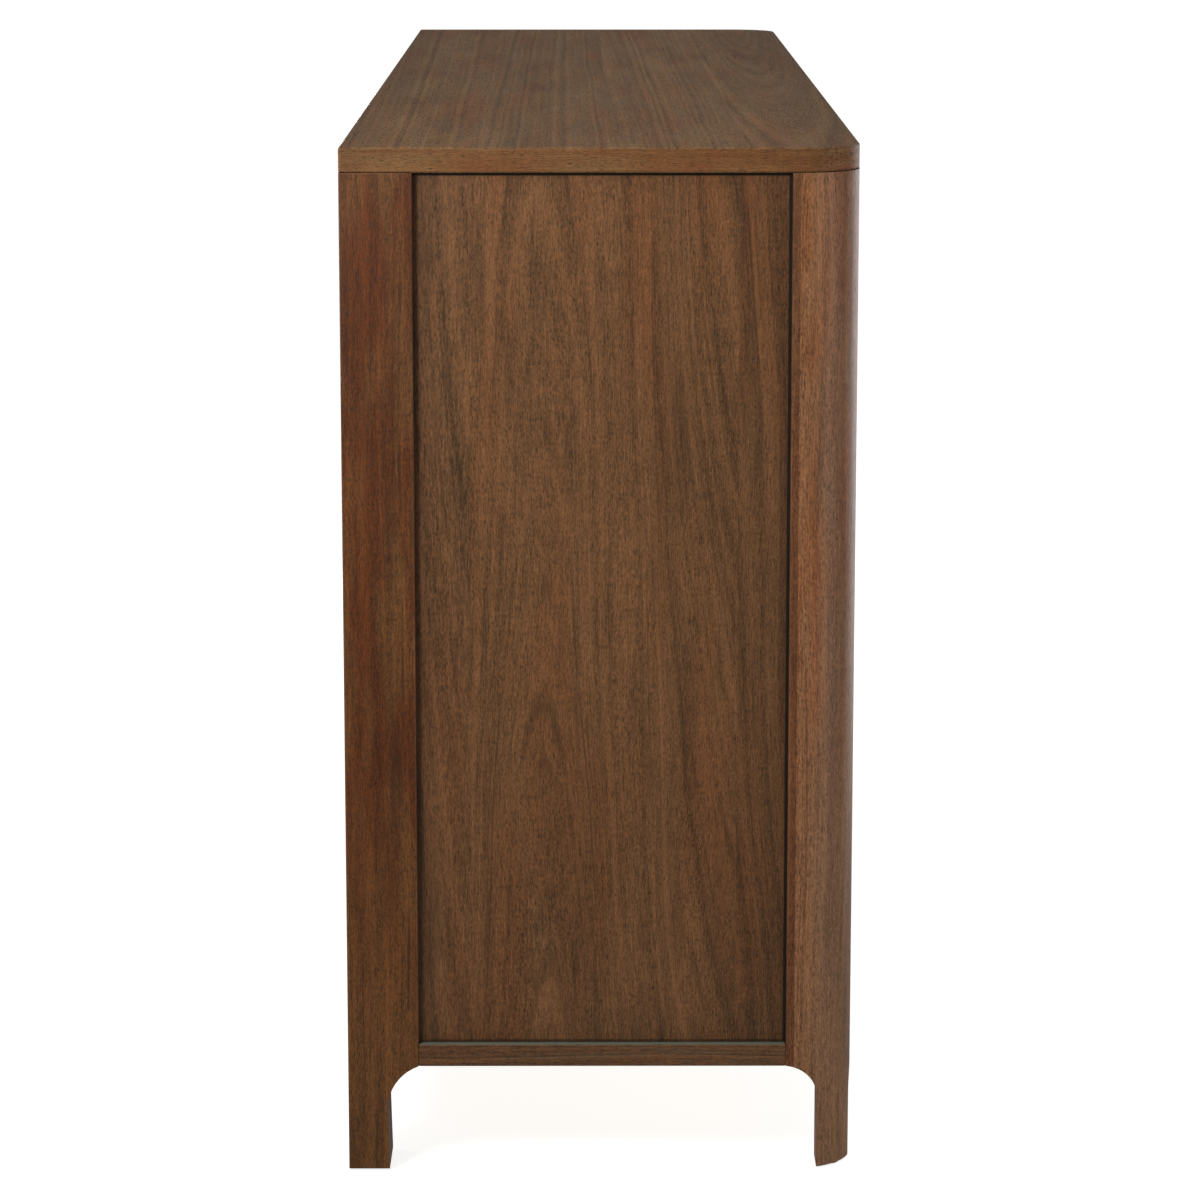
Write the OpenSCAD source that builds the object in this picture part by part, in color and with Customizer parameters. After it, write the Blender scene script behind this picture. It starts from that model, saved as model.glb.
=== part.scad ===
// A six-drawer walnut dresser with rounded front corners and coved feet.
// X runs along the length, the front faces -Y, Z is up, and the origin is on the
// floor in the middle of the outer box. The left half is drawn and mirrored.

/* [Overall] */
// Length from end to end
dresser_length = 1830; // [1600:10:2000]
// Depth from back to front
dresser_depth = 450; // [430:5:500]
// Height from the floor to the top surface
dresser_height = 914; // [880:2:960]
// Height of the rails' undersides above the floor
leg_height = 97; // [80:1:115]

/* [Top] */
// Thickness of the top board
top_thickness = 22; // [18:1:28]
// Radius of the two front corners, on the top and on the front posts
corner_radius = 53; // [40:1:56]
// Bevel that eases the edges of the top
top_ease = 1.4; // [0.6:0.1:2.4]
// Small bevel on the edges of every visible board
arris = 0.8; // [0.4:0.1:1.2]

/* [Posts and feet] */
// Width and depth of a front post
front_post = 60; // [58:1:68]
// Width and depth of a back post
back_post = 63; // [58:1:70]
// Depth of a front foot, seen from the end
front_foot_depth = 32; // [28:1:42]
// Width of a front foot, seen from the front
front_foot_width = 40; // [34:1:48]
// Depth of a back foot where it is narrowest
back_foot_depth = 35; // [30:1:44]
// How much a back foot widens down to the floor
back_foot_flare = 1.5; // [0.5:0.5:4]
// Radius of the cove inside a front foot, seen from the end
front_cove = 30; // [20:1:38]
// Radius of the cove inside a front foot, seen from the front
face_cove = 42; // [28:1:48]
// Radius of the cove inside a back foot
back_cove = 42; // [28:1:48]
// Height of the glides that the feet stand on
glide_height = 2; // [1.5:0.5:4]
// Radius of a glide
glide_radius = 9; // [7:0.5:10]
// Wood left between a front glide and the inner edges of its foot
glide_margin = 3; // [2:0.5:4]
// Radius of the nail on a glide
glide_nail_radius = 1.2; // [0.8:0.1:1.6]
// How far the nail runs up into the foot
glide_nail_length = 14; // [8:1:20]

/* [Frame] */
// Height of the front rails and of the rails under the ends
rail_height = 20; // [18:1:24]
// Depth of the front rails and the centre stile
rail_depth = 50; // [44:1:56]
// Thickness of the rails under the ends
end_rail_width = 45; // [40:1:52]
// Width of the centre stile and thickness of the partition behind it
stile_width = 20; // [18:1:26]
// Depth of every stub tenon, tongue and groove in the case
stub = 8; // [6:1:9]
// Thickness of a tenon
tenon_thickness = 7; // [5:1:7]
// How far a tenon lies above the underside of its rail
tenon_rise = 2; // [1:0.5:2]
// Wood left in the stile between the tenons of two rails
stile_web = 4; // [3:1:6]

/* [Panels] */
// How far the end panels lie behind the faces of the posts
panel_recess = 8; // [5:1:10]
// Thickness of an end panel
panel_thickness = 12; // [9:1:14]
// Thickness of the base panel
base_thickness = 12; // [9:1:12]
// Play between the base panel and the posts that it is notched round
base_play = 0.5; // [0.3:0.1:1]
// Height of the back rails
back_rail_height = 60; // [50:1:80]
// Thickness of the back rails and the back muntin
back_rail_thickness = 20; // [20:1:26]
// Width of the back muntin
muntin_width = 60; // [50:1:80]
// Thickness of a back panel
back_panel_thickness = 6; // [4:0.5:7]
// How far the back panels lie behind the back rails
back_panel_recess = 10; // [7:1:11]

/* [Drawers] */
// Gap round each drawer front
reveal = 2.5; // [1.5:0.5:4]
// How far the drawer fronts lie behind the face of the frame
front_inset = 1.5; // [0.5:0.5:4]
// Thickness of a drawer front
front_thickness = 20; // [18:1:24]
// Width of the finger scoop in the top edge of a front
pull_width = 130; // [100:5:180]
// Depth of the finger scoop
pull_depth = 26; // [20:1:32]
// Bevel round the finger scoop
pull_ease = 2; // [1:0.5:3]
// Room for fingers between the scoop and the box behind it
finger_room = 15; // [10:1:24]
// Thickness of the sides and ends of a drawer box
box_thickness = 12; // [10:1:15]
// How far a box lies above the lower edge of its front
box_lift = 12; // [8:1:20]
// Free space behind a closed box
box_back_gap = 18; // [10:1:30]
// Thickness of a drawer bottom
bottom_thickness = 6; // [4:0.5:8]
// How far a drawer bottom runs into its grooves
bottom_groove = 6; // [4:0.5:7]
// Height of the drawer bottom above the lower edge of the box
bottom_rise = 10; // [8:1:16]
// Number of dovetails at each corner of a box
tail_count = 5; // [3:1:6]
// Slope of the dovetails, in degrees
tail_slope = 8; // [6:1:12]
// Glue line between the boards of a box
glue_line = 0.1; // [0.1:0.05:0.2]

/* [Runners] */
// How far the closed runners end in front of the back posts
runner_end_gap = 13.5; // [8:0.5:40]
// Space that a runner takes beside the box
runner_thickness = 12.7; // [12:0.1:14]
// Height of the runner member on the case
runner_height = 45; // [40:1:50]
// Sheet thickness of the runners
runner_metal = 1.2; // [1:0.1:1.4]
// Running clearance between two runner members
runner_play = 0.4; // [0.3:0.05:0.5]
// How far the runners start behind a drawer front
runner_setback = 2; // [1:0.5:6]
// Diameter of the fixing holes in the runners
runner_hole = 4.5; // [4:0.5:6]
// Distance of those holes from the ends of a runner
runner_hole_inset = 25; // [15:5:60]
// Height of the cleats that carry the runners at the ends
cleat_height = 50; // [46:1:60]

/* [Fixings] */
// Size of the corner blocks under the top
block_leg = 40; // [30:1:42]
// Width and depth of the centre feet
centre_foot_size = 40; // [30:1:44]
// How far the centre feet lie behind the faces of the rails
centre_foot_setback = 2; // [1:1:4]
// Radius of the pegs on the centre feet
peg_radius = 5; // [4:0.5:6]
// How far a peg runs up into its rail
peg_length = 7; // [5:0.5:8]
// Radius of a screw's shank
screw_radius = 2; // [1.8:0.1:2.5]
// Radius of a screw's head
screw_head_radius = 4; // [3.6:0.2:5]
// Height of a screw's countersunk head
screw_head_height = 2.4; // [2:0.2:3]
// Width of the cross slot in a screw's head
slot_width = 1; // [0.6:0.1:1.2]
// Depth of that slot
slot_depth = 1.3; // [0.8:0.1:1.6]
// How far a screw runs into the top
screw_bite = 12; // [8:1:15]
// Radius of the pilot holes for a wall strap, in the back top rail
strap_hole_radius = 1.75; // [1.5:0.25:2.5]
// Depth of the pilot holes for a wall strap
strap_hole_depth = 14; // [10:1:17]
// Distance of those holes from the middle of the dresser
strap_hole_offset = 500; // [300:10:600]

/* [Hidden] */
$fn = 96;
ROWS = ["bottom", "middle", "top"];
COLUMNS = ["left", "right"];
PIECES = ["front", "box", "floor", "runners", "middle_runners"];
function drawer_node(row, column, piece) =
    str(ROWS[row], "_", COLUMNS[column], "_drawer_", piece);
CASE_NODES = [
    "top_board", "left_front_post", "right_front_post", "left_back_post", "right_back_post",
    "left_end_panel", "right_end_panel", "left_end_rail", "right_end_rail",
    "left_end_top_rail", "right_end_top_rail", "front_top_rail", "front_bottom_rail",
    "divider_rails", "centre_stile", "centre_partition", "back_top_rail", "back_bottom_rail",
    "back_muntin", "left_back_panel", "right_back_panel", "base_panel", "centre_feet",
    "foot_glides", "corner_blocks", "runner_cleats", "top_screws", "case_runners"
];
DRAWER_NODES = [
    for (row = [0 : len(ROWS) - 1], column = [0 : len(COLUMNS) - 1], piece = PIECES)
        drawer_node(row, column, piece)
];

walnut = "#6d4a35";
walnut_red = "#70452f";
walnut_top = "#66503c";
walnut_edge = "#6a4531";
inner_wood = "#b48a5c";
plywood = "#a98257";
steel = "#9aa0a4";
glide_plastic = "#3a3632";
screw_steel = "#b9a36a";

// Main planes of the case, on the left half
end_x = -dresser_length / 2;
front_y = -dresser_depth / 2;
back_y = dresser_depth / 2;
case_top = dresser_height - top_thickness;
rail_top = leg_height + rail_height;
front_post_x = end_x + front_post;
front_post_y = front_y + front_post;
back_post_x = end_x + back_post;
back_post_y = back_y - back_post;
rail_back_y = front_y + rail_depth;
back_rail_y = back_y - back_rail_thickness;
stile_x = -stile_width / 2;
muntin_x = -muntin_width / 2;
panel_x = end_x + panel_recess;
panel_inner_x = panel_x + panel_thickness;
base_z = leg_height + (rail_height - base_thickness) / 2;
base_top = base_z + base_thickness;
back_panel_y = back_y - back_panel_recess - back_panel_thickness;
back_groove_low = leg_height + back_rail_height;
back_groove_high = case_top - back_rail_height;

// Joints between the rails, posts and stile
tenon_shoulder = stub + 2;
tenon_root = 1;
stile_tenon = (stile_width - stile_web) / 2;
through = 2;

// Rows and columns of drawers
row_pitch = (case_top - rail_top) / len(ROWS);
row_height = row_pitch - rail_height;
function row_z(row) = rail_top + row * row_pitch;
bay_width = stile_x - front_post_x;
bay_middle = (stile_x + front_post_x) / 2;
front_width = bay_width - 2 * reveal;
front_height = row_height - 2 * reveal;
front_face_y = front_y + front_inset;
front_inner_y = front_face_y + front_thickness;
pull_radius = (pull_width * pull_width / 4 + pull_depth * pull_depth) / (2 * pull_depth);

// Drawer boxes
box_width = bay_width - 2 * runner_thickness;
box_height = front_height - pull_depth - finger_room - box_lift;
box_back_y = back_rail_y - box_back_gap;
box_depth = box_back_y - front_inner_y;
box_inner_x = box_width / 2 - box_thickness;
tail_pitch = box_height / tail_count;
pin_root = tail_pitch / 2;
pin_tip = pin_root - 2 * box_thickness * tan(tail_slope);

// Runner members, from the case to the box
runner_y = front_inner_y + runner_setback;
runner_length = back_post_y - runner_end_gap - runner_y;
runner_mid_z = box_lift + box_height / 2;
case_member_depth = runner_thickness - 3 * runner_metal;
middle_member_x = runner_metal + runner_play;
middle_member_height = runner_height - 2 * runner_metal - 2 * runner_play;
drawer_member_x = middle_member_x + runner_metal + runner_play;
drawer_member_height = middle_member_height - 2 * runner_metal - 2 * runner_play;

// Screws, and where they hold the top
screw_length = rail_height + screw_bite;
end_rail_mid_x = (panel_inner_x + front_post_x) / 2;
screw_places = [
    for (x = [bay_middle - bay_width / 4, bay_middle + bay_width / 4]) [x, front_y + rail_depth / 2],
    for (part = [1 / 4, 3 / 4]) [end_rail_mid_x, front_post_y + part * (back_post_y - front_post_y)]
];
glide_dimple = 0.4;
glide_inset = glide_radius + glide_margin;
front_glide = [end_x + front_foot_width - glide_inset, front_y + front_foot_depth - glide_inset];
back_glide = [end_x + back_post / 2, back_y - back_foot_depth / 2];
centre_front_foot_y = front_y + centre_foot_setback + centre_foot_size / 2;
centre_back_foot_y = back_y - centre_foot_setback - centre_foot_size / 2;

// Plain shapes that the boards are made of

module both_sides() {
    children();
    mirror([1, 0, 0]) children();
}

module block(from, to) {
    translate(from) cube(to - from);
}

module eased_rect(width, height, ease) {
    polygon([
        [ease, 0], [width - ease, 0], [width, ease], [width, height - ease],
        [width - ease, height], [ease, height], [0, height - ease], [0, ease]
    ]);
}

// A board between two corners, with a small bevel on all twelve edges
module board(from, to, ease = arris) {
    size = to - from;
    translate(from) intersection() {
        linear_extrude(size.z) eased_rect(size.x, size.y, ease);
        translate([0, size.y, 0]) rotate([90, 0, 0])
            linear_extrude(size.y) eased_rect(size.x, size.z, ease);
        rotate([90, 0, 90]) linear_extrude(size.x) eased_rect(size.y, size.z, ease);
    }
}

// A countersunk wood screw, point up, with its head's face at z = 0
module wood_screw(slotted) {
    difference() {
        union() {
            cylinder(h = screw_head_height, r1 = screw_head_radius, r2 = screw_radius);
            cylinder(h = screw_length - screw_radius, r = screw_radius);
            translate([0, 0, screw_length - screw_radius])
                cylinder(h = screw_radius, r1 = screw_radius, r2 = screw_radius / 4);
        }
        if (slotted)
            for (turn = [0, 90]) rotate([0, 0, turn])
                translate([-screw_head_radius / 2, -slot_width / 2, -slot_width])
                    cube([screw_head_radius, slot_width, slot_width + slot_depth]);
    }
}

module screws(slotted = false) {
    both_sides()
        for (place = screw_places)
            translate([place.x, place.y, case_top - rail_height]) wood_screw(slotted);
}

// A nail-on glide: the disc under a foot and the nail that holds it
module glide() {
    difference() {
        cylinder(h = glide_height, r = glide_radius);
        translate([0, 0, -through])
            cylinder(h = through + glide_dimple, r = glide_radius / 3);
    }
    translate([0, 0, glide_height / 2])
        cylinder(h = glide_height / 2 + glide_nail_length, r = glide_nail_radius);
}

module glides() {
    both_sides() {
        translate(front_glide) glide();
        translate(back_glide) glide();
    }
    translate([0, centre_front_foot_y, 0]) glide();
    translate([0, centre_back_foot_y, 0]) glide();
}

// Tenons

module front_rail_tenon(z) {
    block(
        [front_post_x - stub, front_y + tenon_shoulder, z + tenon_rise],
        [front_post_x + tenon_root, rail_back_y - tenon_shoulder, z + tenon_rise + tenon_thickness]
    );
}

module stile_side_tenon(z) {
    block(
        [stile_x - tenon_root, front_y + tenon_shoulder, z + tenon_rise],
        [stile_x + stile_tenon, rail_back_y - tenon_shoulder, z + tenon_rise + tenon_thickness]
    );
}

module stile_end_tenons() {
    block(
        [-tenon_thickness / 2, front_y + tenon_shoulder, rail_top - stub],
        [tenon_thickness / 2, rail_back_y - tenon_shoulder, rail_top + tenon_root]
    );
    block(
        [-tenon_thickness / 2, front_y + tenon_shoulder, case_top - rail_height - tenon_root],
        [tenon_thickness / 2, rail_back_y - tenon_shoulder, case_top - rail_height + stub]
    );
}

// Tenons of a rail that runs from a front post to a back post
module end_rail_tenons(low_x, high_x, z) {
    block(
        [low_x, front_post_y - stub, z + tenon_rise],
        [high_x, front_post_y + tenon_root, z + tenon_rise + tenon_thickness]
    );
    block(
        [low_x, back_post_y - tenon_root, z + tenon_rise],
        [high_x, back_post_y + stub, z + tenon_rise + tenon_thickness]
    );
}

module end_bottom_tenons() {
    end_rail_tenons(end_x + tenon_shoulder, end_x + end_rail_width - tenon_shoulder, leg_height);
}

module end_top_tenons() {
    end_rail_tenons(panel_inner_x + through, front_post_x - tenon_shoulder, case_top - rail_height);
}

module back_rail_tenon(z) {
    block(
        [back_post_x - stub, back_panel_y, z + tenon_shoulder],
        [back_post_x + tenon_root, back_panel_y + back_panel_thickness, z + back_rail_height - tenon_shoulder]
    );
}

module muntin_tenons() {
    block(
        [muntin_x + stub, back_panel_y, back_groove_low - stub],
        [-muntin_x - stub, back_panel_y + back_panel_thickness, back_groove_high + stub]
    );
}

// Case boards, on the left half where there are two

module end_panel_board() {
    block(
        [panel_x, front_post_y - stub, rail_top - stub],
        [panel_inner_x, back_post_y + stub, case_top]
    );
}

module back_panel_board() {
    block(
        [back_post_x - stub, back_panel_y, back_groove_low - stub],
        [muntin_x + stub, back_panel_y + back_panel_thickness, back_groove_high + stub]
    );
}

module base_panel_board() {
    difference() {
        block(
            [end_x + end_rail_width - stub, rail_back_y - stub, base_z],
            [-end_x - end_rail_width + stub, back_rail_y + stub, base_top]
        );
        both_sides() {
            block(
                [end_x, front_y, base_z - through],
                [front_post_x + base_play, front_post_y + base_play, base_top + through]
            );
            block(
                [end_x, back_post_y - base_play, base_z - through],
                [back_post_x + base_play, back_y, base_top + through]
            );
        }
    }
}

// Height of the centre of a cove that meets the rail's underside at the post's inner face
function cove_z(foot, radius, post) =
    leg_height - sqrt(pow(radius, 2) - pow(max(0, foot + radius - post), 2));

// Outline cut away beside a foot, with u measured inwards from the post's outer face
module cove_outline(foot, flare, radius, post) {
    z = cove_z(foot, radius, post);
    reach = post + radius;
    translate([foot + radius, z]) circle(r = radius);
    polygon([
        [foot, z], [foot + flare, 0], [foot + flare, -reach], [foot + reach, -reach],
        [foot + reach, z]
    ]);
    translate([foot + radius, z - through]) square([reach, radius + through]);
}

// The plan of a front post: a square whose outer corner has the full radius
module front_post_plan() {
    intersection() {
        eased_rect(front_post, front_post, arris);
        union() {
            translate([corner_radius, corner_radius]) circle(r = corner_radius);
            translate([corner_radius, 0]) square(front_post);
            translate([0, corner_radius]) square(front_post);
        }
    }
}

module front_post_board() {
    difference() {
        translate([end_x, front_y, glide_height])
            linear_extrude(case_top - glide_height) front_post_plan();
        translate([end_x - through, front_y, 0]) rotate([90, 0, 90])
            linear_extrude(front_post + 2 * through)
                cove_outline(front_foot_depth, 0, front_cove, front_post);
        translate([end_x, front_post_y + through, 0]) rotate([90, 0, 0])
            linear_extrude(front_post + 2 * through)
                cove_outline(front_foot_width, 0, face_cove, front_post);
        end_panel_board();
        end_bottom_tenons();
        end_top_tenons();
        for (row = [0 : len(ROWS)]) front_rail_tenon(row_z(row) - rail_height);
        glides();
    }
}

module back_post_board() {
    difference() {
        translate([end_x, back_post_y, glide_height])
            linear_extrude(case_top - glide_height) eased_rect(back_post, back_post, arris);
        translate([end_x - through, back_y, 0]) mirror([0, 1, 0]) rotate([90, 0, 90])
            linear_extrude(back_post + 2 * through)
                cove_outline(back_foot_depth, back_foot_flare, back_cove, back_post);
        end_panel_board();
        end_bottom_tenons();
        end_top_tenons();
        back_panel_board();
        back_rail_tenon(leg_height);
        back_rail_tenon(case_top - back_rail_height);
        glides();
    }
}

module end_rail_board() {
    difference() {
        union() {
            board(
                [end_x, front_post_y, leg_height],
                [end_x + end_rail_width, back_post_y, rail_top]
            );
            end_bottom_tenons();
        }
        end_panel_board();
        base_panel_board();
    }
}

module end_top_rail_board() {
    difference() {
        union() {
            block(
                [panel_inner_x, front_post_y, case_top - rail_height],
                [front_post_x, back_post_y, case_top]
            );
            end_top_tenons();
        }
        screws();
    }
}

// A front rail from post to post, with its underside at z
module front_rail_board(z) {
    board([front_post_x, front_y, z], [-front_post_x, rail_back_y, z + rail_height]);
    both_sides() front_rail_tenon(z);
}

module back_rail_board(z) {
    difference() {
        union() {
            board([back_post_x, back_rail_y, z], [-back_post_x, back_y, z + back_rail_height]);
            both_sides() back_rail_tenon(z);
        }
        both_sides() back_panel_board();
        muntin_tenons();
        base_panel_board();
    }
}

// One finger scoop, cut through a front whose top edge is at z
module pull_cut(z) {
    translate([bay_middle, front_face_y, z + pull_radius - pull_depth]) rotate([-90, 0, 0]) {
        translate([0, 0, -through]) cylinder(h = front_thickness + 2 * through, r = pull_radius);
        translate([0, 0, -pull_ease])
            cylinder(h = 2 * pull_ease, r1 = pull_radius + 2 * pull_ease, r2 = pull_radius);
        translate([0, 0, front_thickness - pull_ease])
            cylinder(h = 2 * pull_ease, r1 = pull_radius, r2 = pull_radius + 2 * pull_ease);
    }
}

// Drawer pieces, drawn in the left bay with z = 0 at the lower edge of the front

// The pins on one end board, as a row through the thickness of a side
module pins(y, facing, spare) {
    for (step = [0 : tail_count]) {
        z = box_lift + step * tail_pitch;
        translate([0, y, z]) mirror([0, facing, 0]) rotate([90, 0, 90])
            linear_extrude(box_thickness)
                polygon([
                    [0, -pin_tip / 2 - spare], [0, pin_tip / 2 + spare],
                    [box_thickness + spare, pin_root / 2 + spare],
                    [box_thickness + spare, -pin_root / 2 - spare]
                ]);
    }
}

module drawer_floor_board() {
    block(
        [
            bay_middle - box_inner_x - bottom_groove,
            front_inner_y + box_thickness - bottom_groove,
            box_lift + bottom_rise
        ],
        [
            bay_middle + box_inner_x + bottom_groove,
            box_back_y - box_thickness + bottom_groove,
            box_lift + bottom_rise + bottom_thickness
        ]
    );
}

module box_side() {
    difference() {
        translate([bay_middle - box_width / 2, front_inner_y, box_lift])
            cube([box_thickness, box_depth, box_height]);
        translate([bay_middle - box_width / 2, 0, 0]) {
            pins(front_inner_y, 0, glue_line);
            pins(box_back_y, 1, glue_line);
        }
        drawer_floor_board();
    }
}

module box_end(y, facing) {
    difference() {
        intersection() {
            union() {
                translate([bay_middle - box_inner_x + glue_line, y - facing * box_thickness, box_lift])
                    cube([2 * box_inner_x - 2 * glue_line, box_thickness, box_height]);
                translate([bay_middle - box_width / 2, 0, 0]) {
                    pins(y, facing, 0);
                    translate([glue_line * 2, 0, 0]) pins(y, facing, 0);
                }
                translate([bay_middle + box_inner_x, 0, 0]) {
                    pins(y, facing, 0);
                    translate([-glue_line * 2, 0, 0]) pins(y, facing, 0);
                }
            }
            translate([bay_middle - box_width / 2, front_inner_y, box_lift])
                cube([box_width, box_depth, box_height]);
        }
        drawer_floor_board();
    }
}

// One C-shaped runner member along Y, with its web at x and its flanges towards +X
module channel(x, depth, height) {
    difference() {
        translate([x, runner_y, runner_mid_z - height / 2]) cube([depth, runner_length, height]);
        translate([x + runner_metal, runner_y - through, runner_mid_z - height / 2 + runner_metal])
            cube([depth, runner_length + 2 * through, height - 2 * runner_metal]);
        for (y = [runner_y + runner_hole_inset, runner_y + runner_length - runner_hole_inset])
            translate([x - through, y, runner_mid_z]) rotate([0, 90, 0])
                cylinder(h = runner_metal + 2 * through, r = runner_hole / 2);
    }
}

// Puts a left-hand runner on both sides of the left bay
module bay_sides() {
    translate([front_post_x, 0, 0]) children();
    translate([stile_x, 0, 0]) mirror([1, 0, 0]) children();
}

module in_bay(row, column) {
    mirror([column, 0, 0]) translate([0, 0, row_z(row) + reveal]) children();
}

module drawer_front(row, column) {
    color(walnut) in_bay(row, column)
        difference() {
            board(
                [bay_middle - front_width / 2, front_face_y, 0],
                [bay_middle + front_width / 2, front_inner_y, front_height]
            );
            pull_cut(front_height);
        }
}

module drawer_box(row, column) {
    color(inner_wood) in_bay(row, column) {
        box_side();
        translate([2 * bay_middle, 0, 0]) mirror([1, 0, 0]) box_side();
        box_end(front_inner_y, 0);
        box_end(box_back_y, 1);
    }
}

module drawer_floor(row, column) {
    color(plywood) in_bay(row, column) drawer_floor_board();
}

module drawer_runners(row, column) {
    color(steel) in_bay(row, column) bay_sides()
        translate([runner_thickness + drawer_member_x, 0, 0]) mirror([1, 0, 0])
            channel(drawer_member_x, runner_thickness - drawer_member_x, drawer_member_height);
}

module drawer_middle_runners(row, column) {
    color(steel) in_bay(row, column) bay_sides()
        channel(middle_member_x, case_member_depth, middle_member_height);
}

// Case pieces

module top_board() {
    color(walnut_top) difference() {
        intersection() {
            board([end_x, front_y, case_top], [-end_x, back_y, dresser_height], top_ease);
            union() {
                block(
                    [end_x, front_y + corner_radius, case_top],
                    [-end_x, back_y, dresser_height]
                );
                block(
                    [end_x + corner_radius, front_y, case_top],
                    [-end_x - corner_radius, back_y, dresser_height]
                );
                both_sides()
                    translate([end_x + corner_radius, front_y + corner_radius, case_top])
                        rotate_extrude() intersection() {
                            translate([-corner_radius, 0])
                                eased_rect(2 * corner_radius, top_thickness, top_ease);
                            square([corner_radius, top_thickness]);
                        }
            }
        }
        screws();
    }
}

module left_front_post() {
    color(walnut_red) front_post_board();
}

module right_front_post() {
    color(walnut_red) mirror([1, 0, 0]) front_post_board();
}

module left_back_post() {
    color(walnut_red) back_post_board();
}

module right_back_post() {
    color(walnut_red) mirror([1, 0, 0]) back_post_board();
}

module left_end_panel() {
    color(walnut) end_panel_board();
}

module right_end_panel() {
    color(walnut) mirror([1, 0, 0]) end_panel_board();
}

module left_end_rail() {
    color(walnut_edge) end_rail_board();
}

module right_end_rail() {
    color(walnut_edge) mirror([1, 0, 0]) end_rail_board();
}

module left_end_top_rail() {
    color(inner_wood) end_top_rail_board();
}

module right_end_top_rail() {
    color(inner_wood) mirror([1, 0, 0]) end_top_rail_board();
}

module front_top_rail() {
    color(walnut_edge) difference() {
        front_rail_board(case_top - rail_height);
        stile_end_tenons();
        screws();
    }
}

module front_bottom_rail() {
    color(walnut_edge) difference() {
        front_rail_board(leg_height);
        stile_end_tenons();
        base_panel_board();
        centre_foot(centre_front_foot_y, front_y + rail_depth / 2);
    }
}

module divider_rails() {
    color(walnut_edge) both_sides()
        for (row = [1 : len(ROWS) - 1]) {
            z = row_z(row) - rail_height;
            board([front_post_x, front_y, z], [stile_x, rail_back_y, z + rail_height]);
            front_rail_tenon(z);
            stile_side_tenon(z);
        }
}

module centre_stile() {
    color(walnut_edge) difference() {
        union() {
            board([stile_x, front_y, rail_top], [-stile_x, rail_back_y, case_top - rail_height]);
            stile_end_tenons();
        }
        both_sides() for (row = [1 : len(ROWS) - 1]) stile_side_tenon(row_z(row) - rail_height);
    }
}

module centre_partition() {
    color(inner_wood) block([stile_x, rail_back_y, base_top], [-stile_x, back_rail_y, case_top]);
}

module back_top_rail() {
    color(walnut_edge) difference() {
        back_rail_board(case_top - back_rail_height);
        both_sides()
            translate([-strap_hole_offset, back_y + through, case_top - back_rail_height / 2])
                rotate([90, 0, 0])
                    cylinder(h = strap_hole_depth + through, r = strap_hole_radius);
    }
}

module back_bottom_rail() {
    color(walnut_edge) difference() {
        back_rail_board(leg_height);
        centre_foot(centre_back_foot_y, back_y - back_rail_thickness / 2);
    }
}

module back_muntin() {
    color(walnut_edge) difference() {
        union() {
            board([muntin_x, back_rail_y, back_groove_low], [-muntin_x, back_y, back_groove_high]);
            muntin_tenons();
        }
        both_sides() back_panel_board();
    }
}

module left_back_panel() {
    color(plywood) back_panel_board();
}

module right_back_panel() {
    color(plywood) mirror([1, 0, 0]) back_panel_board();
}

module base_panel() {
    color(plywood) difference() {
        base_panel_board();
        centre_foot(centre_front_foot_y, front_y + rail_depth / 2);
        centre_foot(centre_back_foot_y, back_y - back_rail_thickness / 2);
    }
}

// A centre foot at y, with its peg where the rail above it is
module centre_foot(y, peg_y) {
    half = centre_foot_size / 2;
    difference() {
        union() {
            board([-half, y - half, glide_height], [half, y + half, leg_height]);
            translate([0, peg_y, leg_height - peg_length])
                cylinder(h = 2 * peg_length, r = peg_radius);
        }
        glides();
    }
}

module centre_feet() {
    color(walnut_edge) {
        centre_foot(centre_front_foot_y, front_y + rail_depth / 2);
        centre_foot(centre_back_foot_y, back_y - back_rail_thickness / 2);
    }
}

module foot_glides() {
    color(glide_plastic) glides();
}

// Three-cornered blocks glued in the corners under the top
module corner_blocks() {
    color(inner_wood) both_sides() translate([0, 0, case_top - rail_height])
        linear_extrude(rail_height) {
            translate([front_post_x, rail_back_y])
                polygon([[0, 0], [block_leg, 0], [0, block_leg]]);
            translate([back_post_x, back_rail_y])
                polygon([[0, 0], [block_leg, 0], [0, -block_leg]]);
        }
}

// Cleats behind the end panels, flush with the inner faces of the posts
module runner_cleats() {
    color(inner_wood) both_sides()
        for (row = [0 : len(ROWS) - 1]) {
            z = row_z(row) + reveal + runner_mid_z;
            block(
                [panel_inner_x, front_post_y, z - cleat_height / 2],
                [front_post_x, back_post_y, z + cleat_height / 2]
            );
        }
}

module top_screws() {
    color(screw_steel) screws(true);
}

module case_runners() {
    color(steel)
        for (row = [0 : len(ROWS) - 1], column = [0 : len(COLUMNS) - 1])
            in_bay(row, column) bay_sides()
                channel(0, case_member_depth, runner_height);
}

top_board();
left_front_post();
right_front_post();
left_back_post();
right_back_post();
left_end_panel();
right_end_panel();
left_end_rail();
right_end_rail();
left_end_top_rail();
right_end_top_rail();
front_top_rail();
front_bottom_rail();
divider_rails();
centre_stile();
centre_partition();
back_top_rail();
back_bottom_rail();
back_muntin();
left_back_panel();
right_back_panel();
base_panel();
centre_feet();
foot_glides();
corner_blocks();
runner_cleats();
top_screws();
case_runners();

for (row = [0 : len(ROWS) - 1], column = [0 : len(COLUMNS) - 1]) {
    drawer_front(row, column);
    drawer_box(row, column);
    drawer_floor(row, column);
    drawer_runners(row, column);
    drawer_middle_runners(row, column);
}
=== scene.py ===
"""Finishes the walnut dresser: its woods, lacquer, runner steel and small screws, and the studio round it."""

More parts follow.
